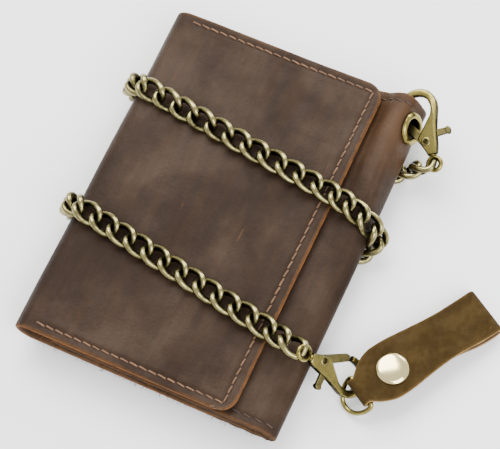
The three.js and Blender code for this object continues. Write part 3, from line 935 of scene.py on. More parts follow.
# ---------------------------------------------------------------- the wallet's leather
@dataclass(frozen=True)
class Seam:
    """A row of stitches."""

    pitch: float = 3.0
    length: float = 2.15
    radius: float = 0.30
    rise: float = 0.20
    dive: float = 0.35
    slant: float = 0.14
    hole: float = 0.40

    def shell(self, path: np.ndarray, normals: np.ndarray, rng: random.Random) -> Shell:
        """Sews along a path.

        Args:
            path: Points along the seam on the leather's surface.
            normals: The surface's outward direction at those points.
            rng: Gives each stitch its small unevenness.

        Returns:
            The thread, finish 0, and dark discs of painted shade at its needle holes, finish 1.
        """
        reach = np.concatenate([[0.0], np.cumsum(np.linalg.norm(np.diff(path, axis=0), axis=1))])
        at = lambda s: np.array([np.interp(s, reach, path[:, k]) for k in range(3)])
        up = lambda s: unit(np.array([np.interp(s, reach, normals[:, k]) for k in range(3)]))
        shells = []
        count = int(reach[-1] / self.pitch)
        step = reach[-1] / max(count, 1)
        for k in range(count):
            middle = (k + 0.5) * step
            half = 0.5 * self.length * rng.uniform(0.92, 1.05)
            a, b = at(middle - half), at(middle + half)
            n = up(middle)
            side = unit(np.cross(n, b - a)) * self.slant
            lean = rng.uniform(0.7, 1.2)
            a, b = a + side * lean, b - side * lean
            rise = self.rise * rng.uniform(0.8, 1.2)
            line = spline([a - n * self.dive, a + n * rise * 0.45, (a + b) / 2 + n * rise,
                           b + n * rise * 0.45, b - n * self.dive], 3)
            thread = tube(line, self.radius * rng.uniform(0.9, 1.08), 7)
            shells.append(thread)
            for end in (a, b):
                shells.append(self.needle_hole_shade(end - (b - a) * 0.02, n))
        return join_shells(shells)

    def needle_hole_shade(self, centre: np.ndarray, normal: np.ndarray) -> Shell:
        """A dark dimple round the end of a stitch, painted shade for its needle hole."""
        across = unit(np.cross(normal, [0.31, 0.95, 0.02]))
        place = Place(centre + normal * 0.015, across, unit(np.cross(normal, across)), unit(normal))
        ring = [(self.hole * math.cos(t), self.hole * math.sin(t), 0.0)
                for t in np.linspace(0, 2 * math.pi, 9)[:-1]]
        points = place.to_wallet(np.array([*ring, (0, 0, 0.03)]))
        faces = [(k, (k + 1) % 8, 8) for k in range(8)]
        return Shell(points, faces, [1] * 8, {})


@dataclass
class WalletBody:
    """The wallet's folded leather: outer wrap, right roll, inner panel, linings and pockets."""

    corner: float = 5.5
    outer: float = 1.5
    hem: float = 2.6
    side_hem: float = 3.2
    sewn: float = 5.5
    bead: float = 0.5
    nick_x: float = 66.4
    nick_depth: float = 0.35
    panel_edge: float = 13.0
    fibres: int = 150
    rng: random.Random = field(default_factory=lambda: random.Random(SEED))

    def __post_init__(self) -> None:
        spine_low, spine_high = node_box("outer_leather_spine")
        self.height = spine_high[1]
        self.base = spine_low[2]
        self.top = spine_high[2]
        self.radius = (self.top - self.base) / 2
        self.middle = self.base + self.radius
        self.flap_edge = node_box("outer_leather_flap")[1][0]
        self.roll_start = node_box("outer_leather_right_fold")[0][0]

    def rows(self) -> np.ndarray:
        """Stations up the wallet's long side, closer together at its stitched ends."""
        h = self.height
        return spread([0, self.bead, self.sewn, h - self.sewn, h - self.bead, h],
                      [0.25, 0.42, 1.7, 0.42, 0.25])

    def corner_inset(self, y: float) -> float:
        """How far a rounded corner brings the free edge in at a height."""
        d = self.corner - min(y, self.height - y)
        return 0.0 if d <= 0 else self.corner - math.sqrt(max(self.corner ** 2 - d * d, 0.0))

    def flap_seam_gap(self, x: float, y: float) -> float:
        """The distance from a point on the flap to its stitch line."""
        right = self.flap_edge - self.side_hem
        top, low = self.height - self.hem, self.hem
        dx = max(x - right, 0.0)
        gaps = [math.hypot(dx, y - low), math.hypot(dx, y - top)]
        gaps.append(math.hypot(x - right, max(low - y, y - top, 0.0)))
        return min(gaps)

    def flap_z(self, x: float, y: float) -> float:
        """The height of the flap's grain side: soft waves, and a groove under the stitches."""
        wave = 0.16 * math.sin(x / 11.0 + 0.6) * math.sin(y / 17.0 + 1.1)
        wave += 0.07 * math.sin(x / 4.3 + y / 9.7) + 0.05 * math.sin(y / 3.9 - x / 7.1)
        fade = smoothstep(x, self.radius, self.radius + 9)
        groove = 0.20 * math.exp(-(self.flap_seam_gap(x, y) / 0.62) ** 2)
        puff = 0.10 * math.exp(-((self.flap_seam_gap(x, y) - 1.7) / 0.9) ** 2)
        return self.top + fade * (wave + puff - groove) - 0.02

    def wrap(self) -> None:
        """One hide from the back, round the spine and across the flap to its free edge."""
        back = spread([-self.roll_start, -self.radius], [3.0])
        arc = np.linspace(0, math.pi, 23)[1:-1]
        front = spread([self.radius, self.flap_edge - self.sewn, self.flap_edge - self.bead,
                        self.flap_edge], [1.6, 0.42, 0.25])
        grain, seam = [], []
        for y in self.rows():
            row = [(-x, y, self.base + 0.05 * math.sin(x / 9) * math.sin(y / 13)) for x in back]
            row += [(self.radius - self.radius * math.sin(a)
                     - 0.10 * math.sin(a) * math.sin(y / 8.0), y,
                     self.middle - self.radius * math.cos(a)) for a in arc]
            span = self.flap_edge - self.radius
            inset = self.corner_inset(y)
            dark = [0.0] * len(row)
            for x in front:
                share = (x - self.radius) / span
                px = x - inset * share ** 3
                near = math.exp(-((px - self.nick_x) / 0.5) ** 2)
                nick = self.nick_depth * near if y == 0 else 0.0
                row.append((px, y + nick, self.flap_z(px, y)))
                dark.append(math.exp(-(self.flap_seam_gap(px, y) / 0.8) ** 2))
            grain.append(row)
            seam.append(dark)
        rims = Rims(first_column=False)
        shell = leather_sheet(np.array(grain), self.outer, rims, seam=np.array(seam))
        made = piece("outer_leather_wrap", shell, [WALLET, FLESH, TAN_EDGE], Slot.OUTER,
                     ["outer_leather_back", "outer_leather_spine", "outer_leather_flap"])
        start = to_row([self.radius, self.height / 2, self.base + self.outer + 0.5])
        end = to_row([self.radius, self.height / 2, self.top - self.outer - 0.5])
        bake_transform(made)

    def roll_section(self, y: float) -> np.ndarray:
        """The right roll's outline at a height, from the inner panel round to the back."""
        low = [(66, 12.4), (72.8, 12.4), (76, 12.4), (79, 12.4), (81.5, 12.3), (83.6, 11.8),
               (85.2, 10.8), (86.2, 9.4), (86.4, 7.9), (85.6, 6.2), (83.9, 5.1), (81, 4.8),
               (74, 4.8), (66, 4.8)]
        high = [(66, 12.4), (72.9, 12.5), (74.5, 15.2), (76.6, 17.1), (79, 17.7), (81.3, 17.4),
                (82.5, 15.9), (84.1, 12.7), (85.7, 9.5), (85.8, 7.4), (84.3, 5.4), (81, 4.8),
                (74, 4.8), (66, 4.8)]
        t = smoothstep(y, 52, 102)
        return np.array(low) * (1 - t) + np.array(high) * t

    def roll_line(self, y: float) -> np.ndarray:
        """The grain side's whole section: the inner panel from its free edge, then the roll."""
        curve = spline(self.roll_section(y), 5)
        for _ in range(14):
            curve[1:-1] = 0.25 * curve[:-2] + 0.5 * curve[1:-1] + 0.25 * curve[2:]
        inner = spread([self.panel_edge, 60.0, self.roll_start], [4.0, 2.0])[:-1]
        panel = [(x, curve[0][1]) for x in inner]
        line = np.array([*panel, *curve])
        wave = 0.12 * np.sin(line[:, 0] / 5.3 + y / 12.0) * np.sin(y / 7.0 + 0.4)
        near = np.clip((line[:, 0] - 70) / 6, 0, 1)
        line[:, 1] -= np.abs(wave) * near * (line[:, 1] > self.middle)
        return line

    def roll(self) -> None:
        """The inner panel and the roll that carries the eyelet, as one hide."""
        place = Eyelet.place()
        grain, seam = [], []
        for y in self.rows():
            line = self.roll_line(y)
            row = np.column_stack([line[:, 0], np.full(len(line), y), line[:, 1]])
            if y in (0.0, self.height):
                ragged = 0.10 * np.sin(line[:, 0] * 1.1) + 0.05 * np.sin(line[:, 0] * 2.7)
                row[:, 1] += ragged * (1 if y == 0 else -1)
            gap = np.minimum(abs(y - self.hem), abs(y - (self.height - self.hem)))
            top_side = (line[:, 1] > 10.4) & (line[:, 0] > 62)
            row[:, 2] -= 0.22 * math.exp(-(gap / 0.6) ** 2) * top_side
            seam.append(math.exp(-(gap / 0.8) ** 2) * top_side)
            grain.append(row)
        grain = np.array(grain)
        away = np.linalg.norm(grain - place.origin, axis=2)
        pinch = 0.30 * np.exp(-(np.maximum(away - Eyelet.radius, 0) / 1.6) ** 2)
        grain -= pinch[..., None] * place.z
        shell = leather_sheet(grain, self.outer, Rims(last_column=False), seam=np.array(seam))
        from_eyelet = np.linalg.norm(shell.points - place.origin, axis=1)
        shell.values["warm"] = 0.42 * np.exp(-(from_eyelet / 15.0) ** 2)
        shell = self.punched(shell, place)
        piece("outer_leather_roll", shell, [WALLET, FLESH, DARK_EDGE], Slot.OUTER,
              ["outer_leather_right_fold", "outer_leather_inner_panel"], "wallet")

    def punched(self, shell: Shell, place: Place) -> Shell:
        """Removes the faces that lie inside the eyelet's hole."""
        local = shell.points - place.origin
        depth = local @ place.z
        across = np.linalg.norm(local - depth[:, None] * place.z, axis=1)
        inside = (across < Eyelet.bore + 0.9) & (np.abs(depth) < 3.2)
        keep = [k for k, f in enumerate(shell.faces) if not all(inside[i] for i in f)]
        shell.faces = [shell.faces[k] for k in keep]
        shell.finish = [shell.finish[k] for k in keep]
        return shell

    def flat_leaf(self, node: str, radii: Sequence[float], grow: float, wave: float,
                  body: str, finishes: Sequence[Finish]) -> None:
        """A lining or pocket leaf in place of a flat CAD node.

        Args:
            node: The CAD node it stands for.
            radii: Corner radii at the low and high ends of the right side, then of the left side.
            grow: How far the leaf's upper face moves out from the node's.
            wave: How far its surface waves.
            body: The body it rides on.
            finishes: Its grain, flesh and edge finishes.
        """
        low, high = node_box(node)
        ys = spread([low[1], low[1] + 5, high[1] - 5, high[1]], [0.7, 3.4, 0.7])
        share = spread([0, 0.1, 0.9, 1.0], [0.02, 0.05, 0.02])
        grain = []
        for y in ys:
            inset = []
            for near_low, near_high in ((radii[2], radii[3]), (radii[0], radii[1])):
                r = near_low if y < (low[1] + high[1]) / 2 else near_high
                d = r - min(y - low[1], high[1] - y)
                inset.append(r - math.sqrt(max(r * r - d * d, 0.0)) if d > 0 and r > 0 else 0.0)
            x0, x1 = low[0] + inset[0], high[0] - inset[1]
            xs = x0 + (x1 - x0) * share
            z = high[2] + grow + wave * np.sin(xs / 6.0 + y / 15.0) * np.sin(y / 9.0)
            grain.append(np.column_stack([xs, np.full(len(xs), y), z]))
        shell = leather_sheet(np.array(grain), high[2] - low[2] + grow, bulge=0.1)
        piece(f"{node}_leaf", shell, finishes, Slot.LINING, [node], body)

    def leaves(self) -> None:
        """The flap's lining, the panel's lining, the card pockets and the note divider."""
        c = self.corner
        inside = [LINING, LINING, DARK_EDGE]
        self.flat_leaf("flap_lining", (c, c, 0, 0), 0.26, 0.02, "front_flap",
                       [FLESH, LINING, TAN_EDGE])
        for node, radii, grow, wave in (
            ("inner_panel_lining", (0, 0, c, c), 0.26, 0.02),
            ("card_pocket_front", (2, 2, 0, 0), 0.0, 0.03),
            ("card_pocket_rear", (2, 2, 0, 0), 0.0, 0.03),
            ("bill_divider", (3, 3, 0, 0), 0.0, 0.04),
        ):
            self.flat_leaf(node, radii, grow, wave, "wallet", inside)

    def flap_stitches(self) -> None:
        """The row of stitches round the flap's three free sides."""
        right = self.flap_edge - self.side_hem
        top, low = self.height - self.hem, self.hem
        corners = [(self.radius + 1.5, low), (right, low), (right, top), (self.radius + 1.5, top)]
        for k, (a, b) in enumerate(zip(corners, corners[1:])):
            xy = [np.array(a) + (np.array(b) - np.array(a)) * t for t in np.linspace(0.0, 1.0, 120)]
            path = np.array([(x, y, self.flap_z(x, y) + 0.02) for x, y in xy])
            shell = Seam().shell(path, np.tile([0.0, 0.0, 1.0], (len(path), 1)), self.rng)
            piece(f"flap_stitches_{k + 1}", shell, [STITCH, HOLE_SHADE], Slot.OUTER, body="front_flap")

    def roll_stitches(self) -> None:
        """The stitches along both ends of the roll."""
        for name, y, last in (("low", self.hem, 85.0), ("high", self.height - self.hem, 82.2)):
            line = self.roll_line(y)
            x, z = line[:, 0], line[:, 1]
            line = line[(x > 67) & (z > 10.6) & (x < last)]
            path = np.column_stack([line[:, 0], np.full(len(line), y), line[:, 1] - 0.16])
            ahead = np.gradient(path, axis=0)
            normals = unit(np.cross(ahead, [0.0, 1.0, 0.0]))
            shell = Seam(length=2.0, radius=0.25, rise=0.1).shell(path, normals, self.rng)
            piece(f"roll_stitches_{name}", shell, [DARK_STITCH, HOLE_SHADE], Slot.OUTER, body="wallet")

    def loose_fibres(self) -> None:
        """Short frayed fibres along the cut ends of the back and the roll."""
        shells = []
        layers = [self.base + 0.3, self.base + 1.2, 11.3, 12.1]
        for _ in range(self.fibres):
            x = self.rng.uniform(6, 84)
            low_end = self.rng.random() < 0.7
            y = 0.0 if low_end else self.height
            out = -1 if low_end else 1
            z = self.rng.choice(layers) + self.rng.uniform(-0.2, 0.2)
            reach = self.rng.uniform(0.4, 1.5)
            lean = self.rng.uniform(-1.2, 1.2)
            line = spline([(x, y - out * 0.3, z), (x + lean * 0.3, y + out * reach * 0.6, z + 0.2),
                           (x + lean, y + out * reach, z + self.rng.uniform(-0.5, 0.3))], 3)
            shells.append(tube(line, np.linspace(0.07, 0.025, len(line)), 4))
        piece("loose_fibres", join_shells(shells), [TAN_EDGE], Slot.OUTER, body="wallet")

    def dress(self) -> None:
        """Builds every leather piece of the wallet's body."""
        self.wrap()
        self.roll()
        self.leaves()
        self.flap_stitches()
        self.roll_stitches()
        self.loose_fibres()


# ---------------------------------------------------------------- eyelet
class Eyelet:
    """The flanged brass eyelet through the roll, with its washer inside."""

    radius = 5.2
    bore = 3.4
    centre = (84.05, 105.6, 12.8)
    outward = (0.894, 0.0, 0.447)

    @staticmethod
    def place() -> Place:
        """The eyelet's frame: z points out of the roll."""
        tilt = unit(Eyelet.outward)
        side = np.array([0.0, 1.0, 0.0])
        return Place(np.array(Eyelet.centre), unit(np.cross(side, tilt)), side, tilt)

    def dress(self) -> None:
        """Builds the eyelet's rolled flange and its washer."""
        r, edge = self.bore, self.radius
        flange = [(r, -2.6), (r + 0.3, -2.6), (r + 0.3, 0.30), (edge - 0.1, 0.12),
                  (edge + 0.02, 0.34)]
        flange += [(edge - 0.18 - 0.9 * (1 - math.cos(t)), 0.5 + 0.62 * math.sin(t))
                   for t in np.linspace(0.15, math.pi * 0.86, 9)]
        flange += [(r + 0.12, 0.55), (r, 0.1)]
        # Painted light over the brass's wear: a painted highlight on the rolled rim and painted
        # shade down the bore.
        rub = [0.1, 0.1, 0.3, 0.4, 0.5, 0.75, 0.85, 0.95, 1, 1, 1, 0.95, 0.85, 0.7, 0.5, 0.25]
        place = self.place()
        piece("eyelet_flange", lathe(flange, 64, rub).placed(place), [CLASP_METAL], Slot.BRASS,
              ["eyelet_front"], "wallet")
        back = [(r + 0.6, -2.5), (r + 1.2, -2.5), (r + 1.25, -2.25), (r + 1.2, -2.0),
                (r + 0.6, -2.0)]
        piece("eyelet_back_washer", lathe(back, 48).placed(place), [DARK_METAL], Slot.DARK,
              ["eyelet_washer"], "wallet")


# ---------------------------------------------------------------- chain
@dataclass
class CurbChain:
    """The curb chain: each link is twisted by nearly a quarter turn, so that it lies flat."""

    wire: float = 1.04
    width: float = 7.9
    pitch: float = 6.4
    twist: float = math.radians(43)
    surface: float = 0.1
    thick: float = 4.2
    turn_x: float = 2.8
    turn_pitch: float = 5.1

    def __post_init__(self) -> None:
        spine_low, spine_high = node_box("outer_leather_spine")
        self.middle = (spine_low[2] + spine_high[2]) / 2
        self.low = self.surface + self.thick / 2
        self.high = 2 * self.middle - self.low

    def link(self, start: np.ndarray, end: np.ndarray, side: Sequence[float],
             roll: float = 0.0) -> Shell:
        """One link between two joints, where it touches its neighbours.

        Args:
            start: The joint at its first end.
            end: The joint at its last end.
            side: Roughly across the chain, in the plane that it lies in.
            roll: How far the link is rolled about the chain, in radians.

        Returns:
            The link's shell.
        """
        start, end = np.array(start, float), np.array(end, float)
        place = Place.at((start + end) / 2, end - start, side)
        half_long = np.linalg.norm(end - start) / 2 + self.wire
        half_wide = self.width / 2 - self.wire
        t = np.linspace(0, 2 * math.pi, 45)[:-1]
        x = half_long * np.sign(np.cos(t)) * np.abs(np.cos(t)) ** 0.86
        y = half_wide * np.sign(np.sin(t)) * np.abs(np.sin(t)) ** 0.80
        turn = roll + self.twist * x / half_long
        path = np.column_stack([x, y * np.cos(turn), y * np.sin(turn)])
        shell = tube(path, self.wire, 12, closed=True)
        # Painted light over patina and wear: faces turned towards the link's middle get painted
        # shade, faces turned up and down a painted highlight.
        centre = np.repeat(path, 12, axis=0)
        out = unit(shell.points - centre)
        away = unit(centre * np.array([0.55, 1.0, 1.0]))
        facing = np.einsum("ij,ij->i", out, away)
        face_wear_and_highlight = np.abs(out[:, 2])
        shell.values["rub"] = np.clip(0.20 + 0.40 * facing + 0.48 * face_wear_and_highlight ** 1.5, 0, 1)
        return shell.placed(place)

    def run(self, start: Sequence[float], end: Sequence[float], side: Sequence[float],
            roll: Callable[[float], float]) -> Shell:
        """A straight run of links.

        Args:
            start: The run's first joint.
            end: Its last joint.
            side: Across the chain.
            roll: Gives each link's roll from its share of the way along.

        Returns:
            The links in one shell.
        """
        start, end = np.array(start, float), np.array(end, float)
        n = max(1, round(np.linalg.norm(end - start) / self.pitch))
        joints = [start + (end - start) * k / n for k in range(n + 1)]
        return join_shells([self.link(joints[k], joints[k + 1], side, roll((k + 0.5) / n))
                            for k in range(n)])

    def turn_joints(self, y0: float, y1: float) -> list[np.ndarray]:
        """The five joints where the chain goes round the spine, from below to above."""
        joints = [np.array([self.turn_x, y0, self.low])]
        for k in range(1, 5):
            angle = math.pi - k * math.pi / 5
            last = joints[-1]
            joints.append(np.array([last[0] + self.turn_pitch * math.cos(angle),
                                    y0 + (y1 - y0) * k / 4,
                                    last[2] + self.turn_pitch * math.sin(angle)]))
        return joints

    def rolled(self, share: float) -> float:
        """How the upper crossing's links roll: most about a quarter of the way along."""
        hump = math.exp(-((share - 0.24) / 0.26) ** 2)
        return math.radians(36) * hump - math.radians(6) * share

    def lead_joints(self) -> tuple[np.ndarray, list[np.ndarray]]:
        """The chain's way from the first clasp down to its run below the wallet.

        Returns:
            The lead's last point and the joints of its three links.
        """
        clasp_end = Clasp.place_a().origin + np.array([-1.0, -0.35, -0.75])
        lead = spline([clasp_end, (89.6, 96.2, 6.4), (84.4, 94.4, self.low + 0.4),
                       (79, 93.6, self.low)], 8)
        reach = np.concatenate([[0], np.cumsum(np.linalg.norm(np.diff(lead, axis=0), axis=1))])
        stops = [np.array([np.interp(s, reach, lead[:, k]) for k in range(3)])
                 for s in np.linspace(0, reach[-1], 4)]
        return lead[-1], stops

    def dress(self) -> None:
        """Builds the whole chain, a piece for each run and for each link that turns."""
        upper, lower = self.turn_joints(87.0, 84.3), self.turn_joints(43.2, 40.2)
        upper_edge = [(72.5, 74.2, self.high), (77.6, 73.3, 17.2), (82.6, 72.0, 15.4),
                      (87.2, 70.6, 12.0), (89.0, 69.0, 7.2), (86.2, 66.6, 2.8),
                      (80.8, 64.0, self.low)]
        lower_edge = [(72.5, 27.6, self.high), (77.4, 26.7, 18.2), (83.3, 25.4, 18.75)]
        lead_end, lead = self.lead_joints()
        across = np.array([0.0, 1.0, 0.0])
        flat = lambda share: 0.0

        def links(name: str, shell: Shell, node: str, body: str) -> None:
            piece(name, shell, [CHAIN_METAL], Slot.CHAIN, [node], body)

        for tag, start, end, side, roll, body in (
            ("under_upper", lead_end, upper[0], -across, flat, "wallet"),
            ("front_upper", upper[4], upper_edge[0], across, self.rolled, "upper_crossing"),
            ("under_lower", upper_edge[6], lower[0], -across, flat, "wallet"),
            ("front_lower", lower[4], lower_edge[0], across, flat, "lower_crossing"),
        ):
            links(f"chain_links_{tag}", self.run(start, end, side, roll), f"chain_run_{tag}", body)
        for tag, joints in (("upper", upper), ("lower", lower)):
            for k in range(4):
                links(f"chain_turn_link_{tag}_{k + 1}",
                      self.link(joints[k], joints[k + 1], across), f"chain_turn_{tag}_{k + 1}",
                      f"{tag}_turn_links_{'low' if k < 2 else 'high'}")
        for k, roll in enumerate((8, 11, 15, 17, 15, 6)):
            shell = self.link(upper_edge[k], upper_edge[k + 1], across, math.radians(roll))
            links(f"chain_side_link_{k + 1}", shell, f"chain_edge_link_{k + 1}",
                  "upper_edge_links" if k < 3 else "wallet")
        for k, roll in enumerate((-8, -22)):
            shell = self.link(lower_edge[k], lower_edge[k + 1], across, math.radians(roll))
            links(f"chain_end_link_{k + 1}", shell, f"chain_tail_link_{k + 1}", "lower_crossing")
        for k, roll in enumerate((34, 18, 2)):
            shell = self.link(lead[k], lead[k + 1], (0.3, 1, 0), math.radians(roll))
            links(f"chain_start_link_{k + 1}", shell, f"chain_lead_link_{k + 1}", "wallet")


# ---------------------------------------------------------------- swivel trigger clasps
@dataclass
class Clasp:
    """A cast trigger clasp on a swivel eye. Its x runs from the eye to the top of the hook."""

    tag: str
    place: Place
    eye_body: str
    half: float = 1.1
    eye_radius: float = 2.0
    eye_wire: float = 0.78

    OUTER = ((2.9, -1.5), (5, -2.1), (10.8, -2.8), (14, -3.5), (17.6, -4.3), (20.4, -4.0),
             (22.8, -2.6), (24.2, -0.4), (24.5, 1.8), (24.1, 4.2), (22.9, 6.2), (21.1, 7.5),
             (18.8, 8.1), (16.4, 8.0))
    INNER = ((16.3, 6.2), (18.6, 6.1), (20.5, 5.5), (21.8, 4.0), (22.2, 1.8), (21.6, -0.2),
             (20.2, -1.5), (17.8, -2.0), (15.6, -1.5))
    SHANK = ((8.9, 3.7), (7.0, 3.2), (4.4, 2.0), (2.9, 1.5))
    SLOT = ((5.4, -8, -0.55), (13.8, 9, 0.55))
    GATE = ((5.5, 0.6), (6.4, -0.5), (8.2, -0.6), (8.4, -6.2), (10.4, -6.4), (10.5, -1.2),
            (9.6, 1.6), (15.9, 5.9), (15.4, 7.6), (13.9, 7.5), (6.6, 3.0))
    KNOB = ((8.3, -5.7), (8.3, -6.6), (9.4, -7.0), (10.5, -6.6), (10.5, -5.7), (9.4, -5.3))
    HEAD = ((0.7, 0.0), (0.8, -0.3), (1.35, 0.02), (1.5, 0.18), (1.3, 0.36), (1.0, 0.38),
            (0.78, 0.2))
    COLLAR = ((0, 2.3), (0.95, 2.3), (1.15, 2.5), (1.15, 2.75), (0.85, 2.88), (0.45, 2.9),
              (0.45, 4.8), (0, 4.8))
    PIVOT = (7.3, 1.3)

    @staticmethod
    def place_a() -> Place:
        """The clasp through the eyelet: its hook's mouth is centred on the eyelet."""
        turned = Place.at((0, 0, 0), (-0.54, 0.83, 0.12), (-0.815, -0.484, -0.320))
        origin = Eyelet.place().origin - turned.to_wallet(np.array([12.4, 5.0, 1.0]))
        return Place(origin, turned.x, turned.y, turned.z)

    @staticmethod
    def place_b() -> Place:
        """The clasp at the chain's other end, leaning off the wallet's edge to the surface."""
        return Place.at((84.6, 25.1, 18.8), (1, 0, -1), (0, 1, 0))

    def eye(self) -> Shell:
        """The swivel eye: a wire ring, a collar and the stem that turns in the body."""
        t = np.linspace(0, 2 * math.pi, 33)[:-1]
        circle = np.column_stack([self.eye_radius * np.cos(t), self.eye_radius * np.sin(t), 0 * t])
        ring = tube(circle, self.eye_wire, 12, closed=True)
        # Painted light over patina: painted shade on the ring's inner side, a painted highlight on
        # its outer side.
        out = unit(ring.points * np.array([1, 1, 0]))
        facing = np.einsum("ij,ij->i", unit(ring.points - out * self.eye_radius), out)
        ring.values["rub"] = np.clip(0.5 + 0.35 * facing, 0, 1)
        turned = self.place.turned((0, 0, 0), (0, 1, 0), (0, 0, 1))
        return join_shells([ring.placed(self.place), lathe(self.COLLAR, 24).placed(turned)])

    def claw(self) -> Shell:
        """The cast body with its hook, slotted for the trigger."""
        outline = np.concatenate([spline(self.OUTER, 3), spline(self.INNER, 3), self.SHANK])
        return plate(outline, self.half, 0.62, self.SLOT).placed(self.place)

    def rivet(self) -> Shell:
        """The tubular rivet that the trigger turns on, headed on both faces."""
        h = self.half
        parts = []
        # Painted light on the upper head: a painted highlight on its crown, painted shade at its
        # foot and on the shank.
        for sign, rub in ((1, [0.1, 0.3, 0.5, 0.8, 1.0, 0.9, 0.2]), (-1, None)):
            head = [(r, sign * (h - 0.12 + z)) for r, z in self.HEAD]
            parts.append(lathe(head[::sign], 28, rub))
        parts.append(lathe([(0, -h), (0.72, -h), (0.72, h), (0, h)], 20, [0.05] * 4))
        for part in parts:
            part.points = part.points + np.array([*self.PIVOT, 0.0])
        return join_shells(parts).placed(self.place)

    def trigger(self) -> Shell:
        """The sprung trigger: its nose closes the hook and its lever sticks out of the back."""
        body = plate(np.array(self.GATE), 0.5, 0.18)
        knob = plate(spline(self.KNOB, 3, closed=True), 0.85, 0.35)
        return join_shells([body, knob]).placed(self.place)

    def spring(self) -> Shell:
        """The small coil behind the trigger."""
        along = np.linspace(0, 1, 60)
        turn, radius = along * 34, 0.24
        path = np.column_stack([5.8 + 2.0 * along, -1.55 + radius * np.cos(turn),
                                radius * np.sin(turn)])
        return tube(path, 0.07, 6).placed(self.place)

    def dress(self) -> None:
        """Builds the clasp's pieces on its bodies."""
        body, trigger = f"clasp_{self.tag}_body", f"clasp_{self.tag}_trigger"
        for name, shell, finish, slot, node, rides, angle in (
            ("eye", self.eye(), CLASP_METAL, Slot.BRASS, "ring", self.eye_body, 40),
            ("claw", self.claw(), CLASP_METAL, Slot.BRASS, "hook", body, 30),
            ("rivet_heads", self.rivet(), DARK_METAL, Slot.DARK, "rivet", body, 40),
            ("coil", self.spring(), DARK_METAL, Slot.DARK, "spring", body, 40),
            ("trigger_lever", self.trigger(), DARK_METAL, Slot.DARK, "gate", trigger, 30),
        ):
            piece(f"clasp_{self.tag}_{name}", shell, [finish], slot,
                  [f"clasp_{self.tag}_{node}"], rides, angle)


